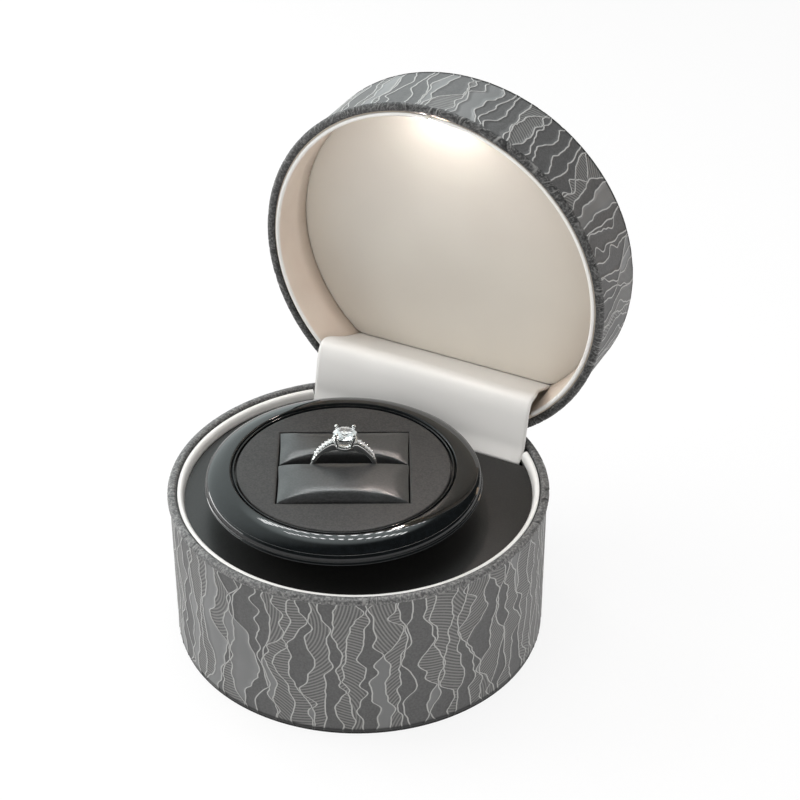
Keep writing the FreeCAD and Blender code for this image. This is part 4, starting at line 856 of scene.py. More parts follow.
def pad_shell(name, side, line, slot, near_roll, far_roll, crown, drawn):
    """Closed pad: cross-sections along x, each a loop in (y, z).

    With m = 1 - u^2, the slot side lies at line + slot m^0.8, the far side at far - drawn m, and
    the top at top + crown m^0.6. Both upper edges roll over with a radius of 0.25 + roll m^0.7, so
    the pad is flat at its corners and crowned between them.
    """
    u = np.sin(np.linspace(-math.pi / 2, math.pi / 2, 65))[None, :]
    m = 1 - u ** 2
    near, far = line + slot * m ** 0.8, PAD_FAR - drawn * m
    near_r, far_r = CORNER_ROLL + near_roll * m ** 0.7, CORNER_ROLL + far_roll * m ** 0.7
    top = PAD_TOP + crown * m ** 0.6
    quarter = np.linspace(0, 1, 9)[:, None] * math.pi / 2
    rise = np.array([0, 0.35, 0.7, 0.95])[:, None]
    over = np.linspace(0.08, 0.92, 12)[:, None]
    under = np.linspace(0.8, 0.2, 4)[:, None]
    y = np.concatenate([near + 0 * rise, near + near_r * (1 - np.cos(quarter)),
                        near + near_r + (far - near - near_r - far_r) * over,
                        (far - far_r * (1 - np.cos(quarter)))[::-1], far + 0 * rise,
                        near + (far - near) * under])
    z = np.concatenate([PAD_FOOT + (top - near_r - PAD_FOOT) * rise,
                        top - near_r + near_r * np.sin(quarter),
                        top + 0.5 * m * over * (1 - over),
                        (top - far_r + far_r * np.sin(quarter))[::-1],
                        (PAD_FOOT + (top - far_r - PAD_FOOT) * rise)[::-1],
                        PAD_FOOT + 0 * m * under])
    x = PAD_HALF * u + 0 * y
    return capped(name, np.stack([x, side * y, z], axis=-1).transpose(1, 0, 2))


def points_of(mesh):
    """The mesh's points as an array, one row each, in metres."""
    flat = np.empty(len(mesh.vertices) * 3, dtype=np.float32)
    mesh.vertices.foreach_get("co", flat)
    return flat.reshape(-1, 3).astype(float)


def move_points(mesh, points):
    """Put the mesh's points where the rows say, in metres."""
    mesh.vertices.foreach_set("co", points.astype(np.float32).reshape(-1))


# %% [markdown]
# The cloth solver then blows each pad up a little, as the foam does under its cover. It works at
# ten times the size, because it is tuned for larger things, and on an even mesh of small squares.
# Its moves are carried back to the pad's own grid, so the edges stay clean.
# %% Cloth
LARGER, VOXEL, PRESSURE, FRAMES = 10, 0.7, 4, 20


def swell(piece, cap=0.4, reach=0.9):
    """Cloth pressure on a remeshed copy at ten times the size, carried back to the piece's grid.

    Each point of the grid moves by the mean of the copy's moves, with weights exp(-d^2 / 2 reach^2)
    for a copy's point at distance d. No move is longer than the cap.
    """
    scene = bpy.context.scene
    unit = LARGER * MM
    grid = points_of(piece.data) * LARGER
    copy = placed(piece.name + "_cloth", piece.data.copy())
    move_points(copy.data, grid)
    voxels = copy.modifiers.new("voxels", "REMESH")
    voxels.mode = "VOXEL"
    voxels.voxel_size = VOXEL * unit
    bpy.context.view_layer.update()
    graph = bpy.context.evaluated_depsgraph_get()
    fine = bpy.data.meshes.new_from_object(copy.evaluated_get(graph))
    copy.modifiers.clear()
    copy.data = fine
    start = points_of(fine)
    solver = copy.modifiers.new("cloth", "CLOTH")
    solver.settings.use_pressure = True
    solver.settings.uniform_pressure_force = PRESSURE
    solver.settings.effector_weights.gravity = 0
    solver.point_cache.frame_start, solver.point_cache.frame_end = 1, FRAMES
    for frame_number in range(1, FRAMES + 1):
        scene.frame_set(frame_number)
    graph = bpy.context.evaluated_depsgraph_get()
    move = points_of(bpy.data.meshes.new_from_object(copy.evaluated_get(graph))) - start
    size = np.linalg.norm(move, axis=1, keepdims=True)
    move *= np.minimum(1, cap * unit / np.maximum(size, 1e-9))
    bpy.data.objects.remove(copy)
    apart = (grid ** 2).sum(axis=1)[:, None] + (start ** 2).sum(axis=1) - 2 * grid @ start.T
    weight = np.exp(-np.maximum(apart, 0) / (2 * (reach * unit) ** 2))
    move = weight @ move / weight.sum(axis=1, keepdims=True)
    move_points(piece.data, (grid + move) / LARGER)
    piece.data.update()
    scene.frame_set(1)
    longest = np.linalg.norm(move, axis=1).max() / unit
    print(piece.name, "swelled by", round(float(longest), 2), "mm at most")


def pad_leather():
    """Thin charcoal PU over foam: satin, with faint stretch wrinkles a few mm long."""
    material, tree, shader, place = finish("charcoal_soft_leatherette", "#3A3B3B", 0.3, IOR=1.5,
                                           Specular_IOR_Level=0.65)
    fleck = add(tree, "TexNoise", {"Vector": place, "Scale": per_mm(0.3)}).outputs[0]
    wrinkle = add(tree, "TexNoise", {"Vector": place, "Scale": per_mm(4.5), "Detail": 1}).outputs[0]
    colour = add(tree, "ValToRGB", {0: fleck}, [(0.35, "#282929"), (0.65, "#363738")]).outputs[0]
    height = add(tree, "Math", {0: wrinkle, 1: 4.0, 2: fleck}, operation="MULTIPLY_ADD").outputs[0]
    bump = add(tree, "Bump", {"Height": height, "Distance": 0.05 * MM, "Strength": 0.5})
    feed(shader, Base_Color=colour, Normal=bump.outputs[0])
    return material


# %% [markdown]
# The slot lies a millimetre behind the middle. The front pad keeps it almost straight, and the rear
# pad's edge draws back in a long curve.
# %% Both pads
pad_front = pad_shell("pad_front", side=-1, line=-0.9, slot=0.5, near_roll=0.9, far_roll=2.6,
                      crown=2.0, drawn=0.6)
pad_rear = pad_shell("pad_rear", side=1, line=1.0, slot=4.2, near_roll=0.7, far_roll=1.6,
                     crown=1.2, drawn=0.5)
soft_black = pad_leather()
for pad, stands_for in ((pad_front, "cushion_front"), (pad_rear, "cushion_rear")):
    swell(pad)
    move_points(pad.data, on_table(points_of(pad.data) / MM) * MM)
    pad.data.polygons.foreach_set("use_smooth", np.ones(len(pad.data.polygons), dtype=bool))
    finer = pad.modifiers.new("finer", "SUBSURF")
    finer.levels = finer.render_levels = 1
    dress(report(pad), soft_black, "table", stands_for)

# %% [markdown]
# ## The lid's panel
#
# Card wrapped in cream satin. It is almost flat: a crown of half a millimetre makes the long soft
# gradient of the lamp's light, and its edge rolls away behind the white liner.
# %% Lid panel


def panel():
    """Nested outlines shrunk to the middle: z = foot + drop - crown (1 - t^2)^2, drawn shut.

    The drop rolls the edge away. The card has one small pip near its middle, which adds
    -0.25 exp(-d^2 / 0.3).
    """
    outline, middle_y, foot, crown = (50.6, 38.15, 5.5), -4.0, 64.6, 0.45
    pip_x, pip_y, pip_high, pip_wide = -2.6, -5.9, 0.25, 0.3
    share = np.linspace(0, 5, 241)[:-1]
    t = np.array([1, 1, 0.998, 0.994, 0.98, 0.9, 0.8, 0.65, 0.5, 0.35, 0.2, 0.1, 0.002])[:, None]
    drop = np.zeros_like(t)
    drop[:4, 0] = 0.9, 0.2, 0.05, 0.01
    x, y, _, _ = d_line(share, *outline)
    px = x[None, :] * t
    py = middle_y + (y[None, :] - middle_y) * t
    z = foot + drop - crown * (1 - t ** 2) ** 2 + 0 * px
    z = z - pip_high * np.exp(-((px - pip_x) ** 2 + (py - pip_y) ** 2) / pip_wide)
    points = swing(np.stack([px, py, z], axis=-1))
    return report(sealed(skin("lid_panel_satin", points, around=True, flip=True)))


def satin():
    """Cream satin paper: smooth, with a soft broad highlight and a faint tooth."""
    material, tree, shader, place = finish("cream_satin_paper", "#D3CDC2", 0.42, IOR=1.5)
    cloudy = add(tree, "TexNoise", {"Vector": place, "Scale": per_mm(18.0)}).outputs[0]
    tooth = add(tree, "TexNoise", {"Vector": place, "Scale": per_mm(0.4)}).outputs[0]
    colour = add(tree, "ValToRGB", {0: cloudy}, [(0.3, "#CFC9BF"), (0.7, "#D5D0C6")]).outputs[0]
    bump = add(tree, "Bump", {"Height": tooth, "Distance": 0.01 * MM, "Strength": 0.4})
    feed(shader, Base_Color=colour, Normal=bump.outputs[0])
    return material


dress(panel(), satin(), "lid", "lid_lining_panel")

# %% [markdown]
# ## The ring
#
# A polished band whose shoulders carry a row of small stones, a collar and gallery under four
# claws, and a round brilliant. The band is a section carried round a circle that is wider at the
# top; its shoulders are hollowed where the stones sit.
# %% Band and head
RING_Z, RING_Y, BAND_OUT, BAND_IN, GIRDLE_Z = 55.9, 1.0, 10.1, 8.6, 68.9
RING_LEAN = math.radians(2.2)
# the band's radii, by degrees from the top
OFF_TOP = [0, 9, 14, 18, 26, 40, 60, 180]
OUTSIDE = [9.0, 9.2, 10.9, 11.4, 11.1, 10.55, BAND_OUT, BAND_OUT]
INSIDE = [7.5, 7.55, 7.75, 7.95, 8.25, 8.5, BAND_IN, BAND_IN]


def on_ring(points):
    """Ring points turned by RING_LEAN about the band's own axis, then placed on the table."""
    c, s = math.cos(RING_LEAN), math.sin(RING_LEAN)
    x, z = points[..., 0], points[..., 2] - RING_Z
    return on_table(np.stack([x * c + z * s, points[..., 1], RING_Z + z * c - x * s], axis=-1))


def ring_place(around, across, radius):
    """Point of the ring: (r sin a, RING_Y + w, RING_Z + r cos a), a measured from the top."""
    return np.stack([radius * np.sin(around), RING_Y + across, RING_Z + radius * np.cos(around)],
                    axis=-1)


def band_of_ring():
    """Section: rounded outside, flatter inside; half-width 1.3 at the top and 0.7 below. The radii
    come from a table: under the head the band dips, and beside it the shoulders rise to meet it."""
    steps, sides = 360, 40
    around = np.linspace(0, 2 * math.pi, steps, endpoint=False)[None, :]
    turn = np.linspace(0, 2 * math.pi, sides, endpoint=False)[:, None]
    width = 1.0 + 0.3 * np.cos(around)
    off_top = np.degrees(np.abs((around + math.pi) % (2 * math.pi) - math.pi))
    kernel = np.hanning(9) / np.hanning(9).sum()
    outer, inner = (np.convolve(np.tile(np.interp(off_top[0], OFF_TOP, table), 3), kernel, "same")
                    [steps:2 * steps][None, :] for table in (OUTSIDE, INSIDE))
    across = np.sign(np.cos(turn)) * np.abs(np.cos(turn)) ** 0.75 * width
    rise = np.sin(turn)
    depth = np.where(rise > 0, np.abs(rise) ** 0.6, -np.abs(rise) ** 0.8)
    radius = (outer + inner) / 2 + depth * (outer - inner) / 2
    shoulder = 1 / (1 + np.exp((np.abs(off_top - 38) - 20) / 1.1))
    hollow = 0.35 * shoulder * np.clip(1.1 - np.abs(across / 0.85) ** 6, 0, 1) * (rise > 0)
    points = ring_place(around + 0 * turn, across + 0 * around, radius - hollow)
    points = np.concatenate([points, points[:1]])
    return report(sealed(skin("ring_band_polished", on_ring(points), around=True, flip=True)))


def tube(line, radii, sides=16):
    """Round tube along a line of points: each ring of points stands square to the line, and the
    ends close to a point."""
    line = np.asarray(line, dtype=float)
    ahead = np.gradient(line, axis=0)
    ahead /= np.linalg.norm(ahead, axis=1, keepdims=True)
    side = np.cross(ahead, [0.31, 0.17, 0.93])
    side /= np.linalg.norm(side, axis=1, keepdims=True)
    other = np.cross(ahead, side)
    turn = np.linspace(0, 2 * math.pi, sides + 1)
    spoke = (np.cos(turn)[None, :, None] * side[:, None, :]
             + np.sin(turn)[None, :, None] * other[:, None, :])
    return line[:, None, :] + np.asarray(radii)[:, None, None] * spoke


def joined_up(name, pieces):
    """One object from several, each already in place."""
    work = bmesh.new()
    for piece in pieces:
        work.from_mesh(piece.data)
    mesh = pieces[0].data.copy()
    mesh.name = name
    work.to_mesh(mesh)
    work.free()
    for piece in pieces:
        bpy.data.objects.remove(piece)
    return report(placed(name, mesh))


def head_of_ring():
    """Four claws that lean out and bend over the stone, and a broad collar that joins their feet.

    A claw is a (radius, height) line, measured from the girdle; gallery and collar are tori.
    """
    parts, steps = [], 24
    claw, _ = evenly(smooth_line([(2.4, -3.9), (2.7, -3.0), (3.3, -1.2), (3.72, 0.0), (3.72, 0.75),
                                  (3.15, 0.98), (2.8, 0.78)]), steps)
    thick = np.interp(np.linspace(0, 1, steps), [0, 0.05, 0.7, 0.86, 0.97, 1],
                      [0.02, 0.34, 0.36, 0.52, 0.36, 0.01])
    for index in range(4):
        a = math.radians(45 + 90 * index)
        path = np.stack([claw[:, 0] * math.cos(a), RING_Y + claw[:, 0] * math.sin(a),
                         GIRDLE_Z + claw[:, 1]], -1)
        parts.append(sealed(skin(f"claw_{index}", on_ring(tube(path, thick)))))
    a = np.linspace(0, 2 * math.pi, 97)[:, None]
    turn = np.linspace(0, 2 * math.pi, 17)[None, :]
    for label, radius, height, thin, tall in (("gallery", 3.15, -1.3, 0.28, 0.3),
                                              ("collar", 2.5, -3.7, 0.36, 0.72)):
        out = radius + thin * np.cos(turn)
        ring = np.stack([out * np.cos(a), RING_Y + out * np.sin(a),
                         GIRDLE_Z + height + tall * np.sin(turn) + 0 * a], axis=-1)
        parts.append(sealed(skin(label, on_ring(ring))))
    return joined_up("ring_head_claws", parts)


def silver():
    """Rhodium-plated silver, polished: bright, faintly warm, with hairline polishing marks."""
    material, tree, shader, place = finish("polished_rhodium", "#F4F4F2", 0.1, Metallic=1.0)
    fine = add(tree, "TexNoise", {"Vector": place, "Scale": per_mm(0.25), "Detail": 3}).outputs[0]
    wavy = add(tree, "TexNoise", {"Vector": place, "Scale": per_mm(1.2)}).outputs[0]
    rough = add(tree, "MapRange", {"Value": fine, "To Min": 0.06, "To Max": 0.14}).outputs[0]
    bump = add(tree, "Bump", {"Height": wavy, "Distance": 0.01 * MM, "Strength": 0.3})
    feed(shader, Roughness=rough, Normal=bump.outputs[0])
    return material


bright = silver()
dress(band_of_ring(), bright, "table", "ring_band")
dress(head_of_ring(), bright, "table", "ring_head")

# %% [markdown]
# A round brilliant is a handful of rings of corners: the table's eight, eight on the crown, sixteen
# on the girdle, eight on the pavilion and the culet. The flat facets between them are exactly the
# faces of their convex hull, so the hull is all that has to be worked out.
# %% Stones
FIRST_STONE, STONE_STEP, STONES = 21, 6.2, 6


def brilliant(name, girdle, middle, turns=((0, 0, 1), (1, 0, 0), (0, 1, 0))):
    """Convex hull of the corners; `middle` is the girdle's centre, `turns` the axes as rows."""
    eight = np.arange(8) * math.pi / 4
    sixteen = np.arange(16) * math.pi / 8
    rings = [(0.55, 0.33, eight), (0.8, 0.19, eight + math.pi / 8), (1.0, 0.03, sixteen),
             (1.0, -0.03, sixteen), (0.45, -0.44, eight + math.pi / 8), (0.0, -0.8, eight[:1])]
    up, right, ahead = np.array(turns, dtype=float)
    corners = np.concatenate([
        girdle * (r * np.cos(a)[:, None] * right + r * np.sin(a)[:, None] * ahead + z * up)
        for r, z, a in rings])
    mesh = bpy.data.meshes.new(name)
    with edited(mesh) as work:
        for corner in on_ring(np.asarray(middle) + corners) * MM:
            work.verts.new(corner)
        bmesh.ops.convex_hull(work, input=work.verts)
        bmesh.ops.dissolve_limit(work, angle_limit=0.01, verts=work.verts, edges=work.edges)
        bmesh.ops.recalc_face_normals(work, faces=work.faces)
    return placed(name, mesh)


def side_stones():
    """A row of brilliants down each shoulder, each standing square to the band."""
    parts = []
    for side in (-1, 1):
        for away in FIRST_STONE + STONE_STEP * np.arange(STONES):
            around = side * math.radians(away)
            up = np.array([math.sin(around), 0, math.cos(around)])
            right = np.array([math.cos(around), 0, -math.sin(around)])
            radius = np.interp(away, OFF_TOP, OUTSIDE) + 0.02
            middle = np.array([0, RING_Y, RING_Z]) + up * radius
            parts.append(brilliant("small_stone", 0.62, middle, (up, right, (0, 1, 0))))
    return joined_up("side_brilliants", parts)


def beads():
    """Small round grains of metal that hold the side stones, one between each pair, on both
    sides."""
    a = np.linspace(0, math.pi, 7)[:, None]
    b = np.linspace(0, 2 * math.pi, 11)[None, :]
    ball = np.stack([np.sin(a) * np.cos(b), np.sin(a) * np.sin(b), np.cos(a) + 0 * b], axis=-1)
    size, beside, sunk = 0.24, 0.86, 0.02
    parts = []
    for side in (-1, 1):
        for away in FIRST_STONE + STONE_STEP * (np.arange(STONES + 1) - 0.5):
            high = np.interp(away, OFF_TOP, OUTSIDE) - sunk
            for across in (-beside, beside):
                middle = ring_place(side * np.radians(away), across, high)
                parts.append(sealed(skin("bead", on_ring(middle + size * ball))))
    return joined_up("side_stone_beads", parts)


def zirconia(name, colour, roughness, clearness, tone, size):
    """Cubic zirconia, cut and polished, with strong reflections from a high index. The large stone
    is clear. The small ones sit over a closed, polished back, so little is seen through them."""
    material, tree, shader, place = finish(name, colour, roughness, IOR=2.1,
                                           Transmission_Weight=clearness)
    cloudy = add(tree, "TexNoise", {"Vector": place, "Scale": per_mm(size)}).outputs[0]
    feed(shader, Base_Color=add(tree, "ValToRGB", {0: cloudy},
                                [(0.3, tone), (0.7, "#FFFFFF")]).outputs[0])
    return material


clear = zirconia("clear_cubic_zirconia", "#FBFCFD", 0.0, 0.9, "#F7F9FB", 1.5)
backed = zirconia("pave_cubic_zirconia", "#FFFFFF", 0.04, 0.35, "#F4F6F8", 0.6)
stone = report(brilliant("centre_brilliant", 3.38, (0, RING_Y, GIRDLE_Z)))
dress(stone, clear, "table", "centre_stone")
dress(side_stones(), backed, "table", "side_stones")
dress(beads(), bright, "table")

# %% [markdown]
# ## Finishes of the parts that keep their CAD shape
#
# Mouldings, turned steel and boards are already right as solids. Each gets the finish of what it is
# made of, except the base shell, which is painted near black as the shade at the wrap's foot.
# %% Materials for the CAD nodes


def moulded(name, colour, light, rough, size=0.4, depth=0.02):
    """Injection-moulded plastic: a fine spark-eroded texture and slow changes of tone."""
    material, tree, shader, place = finish(name, colour, rough, IOR=1.5)
    cloudy = add(tree, "TexNoise", {"Vector": place, "Scale": per_mm(6.0)}).outputs[0]
    eroded = add(tree, "TexNoise", {"Vector": place, "Scale": per_mm(size), "Detail": 3})
    blend = add(tree, "ValToRGB", {0: cloudy}, [(0.3, colour), (0.7, light)]).outputs[0]
    bump = add(tree, "Bump", {"Height": eroded.outputs[0], "Distance": depth * MM, "Strength": 0.5})
    feed(shader, Base_Color=blend, Normal=bump.outputs[0])
    return material


def brushed_steel(name, colour, rough):
    """Bright zinc-plated steel, rolled: marks run along x."""
    material, tree, shader, place = finish(name, colour, rough, Metallic=1.0)
    drawn = add(tree, "Mapping", {"Vector": place, "Scale": (0.05, 1.0, 1.0)}).outputs[0]
    marks = add(tree, "TexNoise", {"Vector": drawn, "Scale": per_mm(0.12)}).outputs[0]
    spread = add(tree, "MapRange", {"Value": marks, "To Min": rough - 0.08,
                                    "To Max": rough + 0.12}).outputs[0]
    bump = add(tree, "Bump", {"Height": marks, "Distance": 0.01 * MM, "Strength": 0.4})
    feed(shader, Roughness=spread, Normal=bump.outputs[0])
    return material


def glowing_lens():
    """Moulded clear lens over a lit warm LED: it glows warm, with a faint cloudy unevenness."""
    material, tree, shader, place = finish("lit_warm_lens", "#FFF3DE", 0.3, Emission_Strength=6.0)
    cloudy = add(tree, "TexNoise", {"Vector": place, "Scale": per_mm(1.0)}).outputs[0]
    glow = add(tree, "ValToRGB", {0: cloudy}, [(0.3, "#FFE9C8"), (0.7, "#FFF6E6")]).outputs[0]
    feed(shader, Emission_Color=glow)
    return material


# %% [markdown]
# Each of these nodes then gets its finish by name: what moves against something else is acetal or
# ABS, what carries or clamps is steel.
# %% Which node is made of what
abs_black = moulded("moulded_black_abs", "#1A1B1B", "#222323", 0.45)
acetal = moulded("natural_acetal", "#DAD9D2", "#E3E2DC", 0.4)
steel = brushed_steel("zinc_plated_steel", "#B9BBBD", 0.28)
made_of = {
    "base_bottom_panel": moulded("pressed_black_paper", "#202020", "#2B2B2B", 0.8, 0.7, 0.05),
    # painted shade: the shell is painted near black, so the strip below the wrap reads as shade at
    # the foot
    "base_shell": moulded("shell_painted_dark_for_foot_shade", "#1F1F20", "#2A2A2B", 0.6),
    "lid_shell": moulded("cream_lined_shell", "#D8CCBC", "#DED3C4", 0.6),
    "lamp_strip": moulded("green_circuit_laminate", "#1E4A34", "#27573E", 0.4),
    "lamp_lens": glowing_lens(),
    # black satin leatherette on card: it mirrors its surroundings softly, or else is black
    "floor_panel": grained_leatherette("black_grained_leatherette", "#1D1D1D", 0.36, 0.34, 0.5,
                                       [(0.35, "#181818"), (0.7, "#262625")]),
}
made_of |= dict.fromkeys(("flap_clamp_bar", "yoke_guide_rails", "battery_holder", "lift_yoke",
                          "turntable_hub", "pedestal_tube", "platter_base", "pad_tray"), abs_black)
made_of |= dict.fromkeys(("guide_sleeve", "light_switch", "switch_plunger", "lift_column",
                          "bearing_washer"), acetal)
made_of |= dict.fromkeys(("guide_screws", "hinge_leaf_base", "hinge_leaf_lid", "hinge_pin",
                          "hinge_spring", "base_hinge_rivets", "lid_hinge_rivets", "lift_arm_left",
                          "lift_arm_right", "lift_pins", "lift_arm_screws", "coin_cell",
                          "yoke_grub_screw", "shoulder_screw"), steel)
for label, material in made_of.items():
    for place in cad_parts[label].material_slots:
        place.material = material
print("finished CAD nodes:", len(made_of))

# %% [markdown]
# ## The lamp in the lid
#
# The lens glows, and a small lamp beside it lights the panel, so that the light falls as it does
# from the real one. Gloss below would mirror the lens as a warm spark, and a glowing mesh so small
# is seldom found by the light rays, so a small warm globe that only reflections see stands in for
# it. Both lamps ride with the lid.
# %% Lid lamp


def lamp(name, kind, power, colour=(1, 1, 1)):
    """A lamp of a kind and a power in watts."""
    data = bpy.data.lights.new(name, kind)
    data.energy, data.color = power, colour
    return placed(name, data)


def aim(thing, eye, target):
    """Place a lamp or camera at one point, in mm, looking at another."""
    start, end = Vector(eye) * MM, Vector(target) * MM
    thing.location = start
    thing.rotation_euler = (end - start).to_track_quat("-Z", "Y").to_euler()


lamp_eye = swing(np.array([-1.5, -48.8, 50.4]))
lamp_target = swing(np.array([-2.5, -24.0, 64.6]))
lid_lamp = lamp("lid_lamp", "SPOT", 0.0225, (1.0, 0.94, 0.915))
lid_lamp.data.spot_size, lid_lamp.data.spot_blend = math.radians(150), 0.8
lid_lamp.data.shadow_soft_size = 1.2 * MM
lens_glint = lamp("lens_glint", "POINT", 0.09, (1.0, 0.84, 0.78))
lens_glint.data.shadow_soft_size = 3.0 * MM
lens_glint.visible_diffuse = lens_glint.visible_camera = False
for thing in (lid_lamp, lens_glint):
    aim(thing, lamp_eye, lamp_target)
    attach(thing, "lid")
print("lamp at", np.round(lamp_eye, 1))

# %% [markdown]
# ## Floor and surroundings
#
# A pale floor keeps the object's shadow. The white behind comes from what the camera and the
# reflections see of floor and world, not from more light on the object.
# %% Floor
WHITE_SHARE = 0.86
scene = bpy.context.scene
floor_mesh = bpy.data.meshes.new("studio_floor")
floor_mesh.from_pydata([(-3, -3, 0), (3, -3, 0), (3, 3, 0), (-3, 3, 0)], [], [(0, 1, 2, 3)])
floor = placed("studio_floor", floor_mesh)
floor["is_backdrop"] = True
floor_paper, tree, shader, _ = finish("white_background_paper", "#EFEFEF", 0.9)
path = add(tree, "LightPath").outputs
lifted = add(tree, "Math", {0: path["Is Glossy Ray"], 1: WHITE_SHARE},
             operation="MULTIPLY").outputs[0]
lifted = add(tree, "Math", {0: path["Is Camera Ray"], 1: WHITE_SHARE, 2: lifted},
             operation="MULTIPLY_ADD").outputs[0]
white = add(tree, "Emission", {"Strength": 1.0}).outputs[0]
both = add(tree, "MixShader", {0: lifted, 1: shader.outputs[0], 2: white}).outputs[0]
tree.links.new(both, tree.nodes["Material Output"].inputs["Surface"])
floor_mesh.materials.append(floor_paper)
print("floor:", floor.name)

# %% [markdown]
# The world is white to the camera and through the stones, and plain grey light to the object. What
# gloss sees of it is a broad glow behind on the left, a smaller one high up, and dark elsewhere.
# %% World
# each glow: its direction, the cosines where it starts and is full, and its strength
GLOWS = (((-0.9, 0.42, 0.1), 0.1, 0.95, 1.5), ((-0.25, 0.44, 0.86), 0.93, 0.985, 1.6))
DARK, LIT = 0.05, 0.5

world = bpy.data.worlds.new("studio")
scene.world = world
world.use_nodes = True
tree = world.node_tree
path = add(tree, "LightPath").outputs
toward = add(tree, "TexCoord").outputs["Generated"]
mirrored = DARK
for direction, low, high, strength in GLOWS:
    near = add(tree, "VectorMath", {0: toward, 1: direction}, operation="DOT_PRODUCT")
    glow = add(tree, "MapRange", {"Value": near.outputs["Value"], "From Min": low,
                                  "From Max": high, "To Min": 0.0, "To Max": strength},
               interpolation_type="SMOOTHSTEP").outputs[0]
    mirrored = add(tree, "Math", {0: mirrored, 1: glow}).outputs[0]
dull = add(tree, "Mix", {0: path["Is Glossy Ray"], 2: LIT, 3: mirrored}).outputs[0]
clear_view = add(tree, "Math", {0: path["Is Camera Ray"], 1: path["Is Transmission Ray"]},
                 operation="MAXIMUM").outputs[0]
level = add(tree, "Mix", {0: clear_view, 2: dull, 3: 1.0}).outputs[0]
tint = add(tree, "Mix", {0: path["Is Glossy Ray"], 6: paint("#FFFFFF"), 7: paint("#F3FFFF")},
           data_type="RGBA").outputs[2]
background = tree.nodes["Background"]
tree.links.new(level, background.inputs["Strength"])
tree.links.new(tint, background.inputs["Color"])
print("world:", world.name)

# %% [markdown]
# ## Studio lamps
#
# A few large soft lamps: a key from the left, a fill from the front right, one overhead, and one
# behind on each side for the edges. They light the object and aren't mirrored in it.
# %% Soft lamps


def softbox(name, eye, target, size, power, colour=(1, 1, 1)):
    """Area lamp of a size in mm and a power in watts."""
    box = lamp(name, "AREA", power, colour)
    box.data.shape = "RECTANGLE"
    box.data.size, box.data.size_y = size[0] * MM, size[1] * MM
    box.visible_glossy = False
    aim(box, eye, target)


softbox("key_left", (-480, -120, 360), (0, 0, 50), (320, 320), 2.0)
softbox("fill_right", (330, -420, 260), (0, 0, 60), (300, 300), 0.84, (1.0, 0.97, 0.94))
softbox("overhead", (-60, 60, 620), (0, 0, 60), (420, 420), 1.7)
softbox("edge_left", (-520, 220, 200), (0, 0, 40), (200, 300), 1.15)
softbox("edge_right", (500, 260, 50), (0, 0, 60), (160, 300), 0.5, (1.0, 0.9, 0.88))
print("lamps:", len(bpy.data.lights))

# %% [markdown]
# Gloss needs something to mirror. Two rows of small bright panels hang over the object, as strips
# of LEDs do in a display case, with a long panel low on the left and a warm one behind. Only
# reflections see them: they show as dotted lines along the lacquered ring and as sparks in the
# stones.
# %% Bright panels


def panel_row(name, middle, along, bend, count, size, strength, colour="#FFFFFF"):
    """Rectangles centred at middle + t along + t^2 bend, for t from -1 to 1.

    size holds each one's length, as a share of the step between two, and its other side in mm.
    """
    middle, along, bend, down = (np.array(v, dtype=float) for v in (middle, along, bend, size[1]))
    t = np.linspace(-1, 1, count)[:, None]
    centre = middle + t * along + t ** 2 * bend
    run = (along + 2 * t * bend) * size[0] / max(count - 1, 1)
    corners = np.array([(-1, -1), (1, -1), (1, 1), (-1, 1)])
    place = centre[:, None] + corners[:, :1] * run[:, None] + corners[:, 1:] * down / 2
    mesh = bpy.data.meshes.new(name)
    mesh.from_pydata(place.reshape(-1, 3) * MM, [], np.arange(count * 4).reshape(-1, 4).tolist())
    light = bpy.data.materials.new(name)
    light.use_nodes = True
    tree = light.node_tree
    glow = add(tree, "Emission", {"Color": paint(colour), "Strength": strength}).outputs[0]
    tree.links.new(glow, tree.nodes["Material Output"].inputs["Surface"])
    mesh.materials.append(light)
    row = placed(name, mesh)
    row.visible_camera = row.visible_diffuse = False
    row.visible_shadow = row.visible_transmission = False
    row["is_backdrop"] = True
    print(name, "panels:", count)


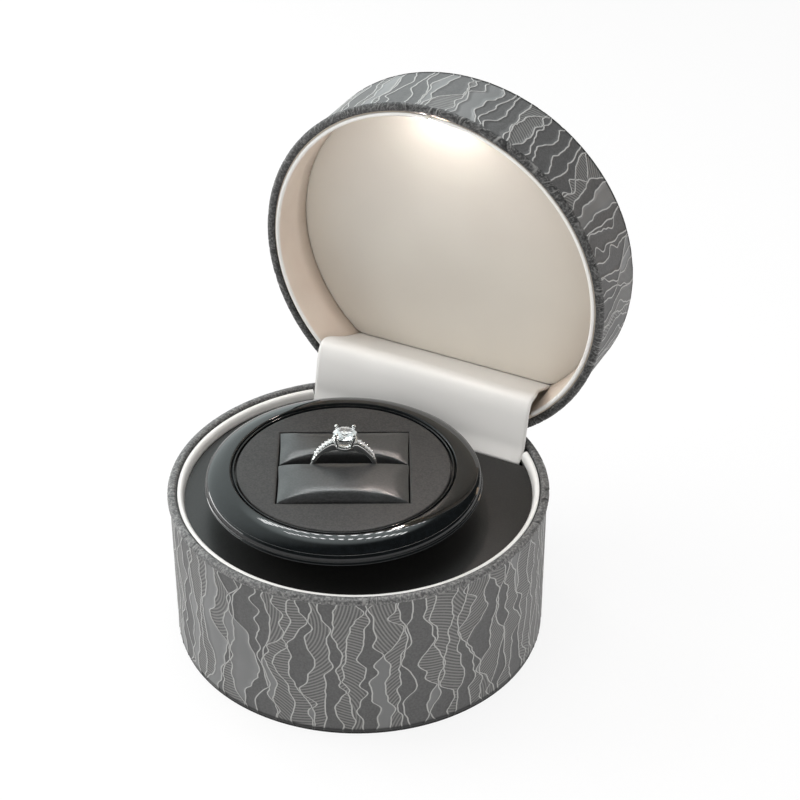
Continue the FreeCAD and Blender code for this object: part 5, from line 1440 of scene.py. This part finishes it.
panel_row("studio_row_low", (-195, 310, 503), (140, 50, 13), (43, -15, 14), 20,
          (0.5, (16, -27, 18)), 22)
panel_row("studio_row_high", (-135, 232, 573), (140, 28, 20), (35, -17, 2), 16,
          (0.5, (17, -31, 19)), 20)
panel_row("studio_horizon", (-600, 90, 72), (0, 290, 0), (0, 0, 0), 1, (1.0, (0, 0, 84)), 9)
panel_row("studio_warm", (292, 527, 95), (30, -13, 0), (0, 0, 0), 1, (1.0, (0, 0, 130)), 3,
          "#FFE0C0")

# %% [markdown]
# ## Camera
#
# The camera stands where three angles put it: round the object, above the floor, and rolled about
# its own line of sight. It looks at the middle of the rim, then turns a little aside and down so
# that the object sits where it should in the frame. FOCAL is in pixels of a picture 800 wide.
# %% Camera
AROUND, ABOVE, ROLL = math.radians(29.1055), math.radians(35.6281), math.radians(-0.8488)
ASIDE, DOWN, FAR = 0.0204, 0.0398, 584.9
FOCAL, PICTURE, SENSOR = 2028.35, 800, 36.0


def turned_toward(first, second, angle):
    """Two square directions turned together by an angle, in the plane that they span."""
    c, s = math.cos(angle), math.sin(angle)
    return c * first - s * second, s * first + c * second


back = np.array([math.sin(AROUND) * math.cos(ABOVE), -math.cos(AROUND) * math.cos(ABOVE),
                 math.sin(ABOVE)])
right = np.array([math.cos(AROUND), math.sin(AROUND), 0])
up = np.cross(back, right)
right, up = turned_toward(right, up, -ROLL)
right, ahead = turned_toward(right, -back, ASIDE)
up, ahead = turned_toward(up, ahead, DOWN)
eye = np.array([0, 0, RIM]) + FAR * back
camera_data = bpy.data.cameras.new("studio_camera")
camera_data.sensor_width = SENSOR
camera_data.lens = FOCAL / PICTURE * SENSOR
camera_data.clip_start = 0.01
camera = placed("studio_camera", camera_data)
pose = np.eye(4)
pose[:3] = np.stack([right, up, -ahead, eye * MM], axis=1)
camera.matrix_world = Matrix(pose.tolist())
scene.camera = camera
scene.view_settings.view_transform = "Standard"
print("camera at", np.round(eye, 1), "lens", round(camera_data.lens, 2))

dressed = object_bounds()
for label, pair in (("cad", cad_box), ("visual", dressed)):
    print(label, [[round(float(v) * 1000, 1) for v in corner] for corner in pair])
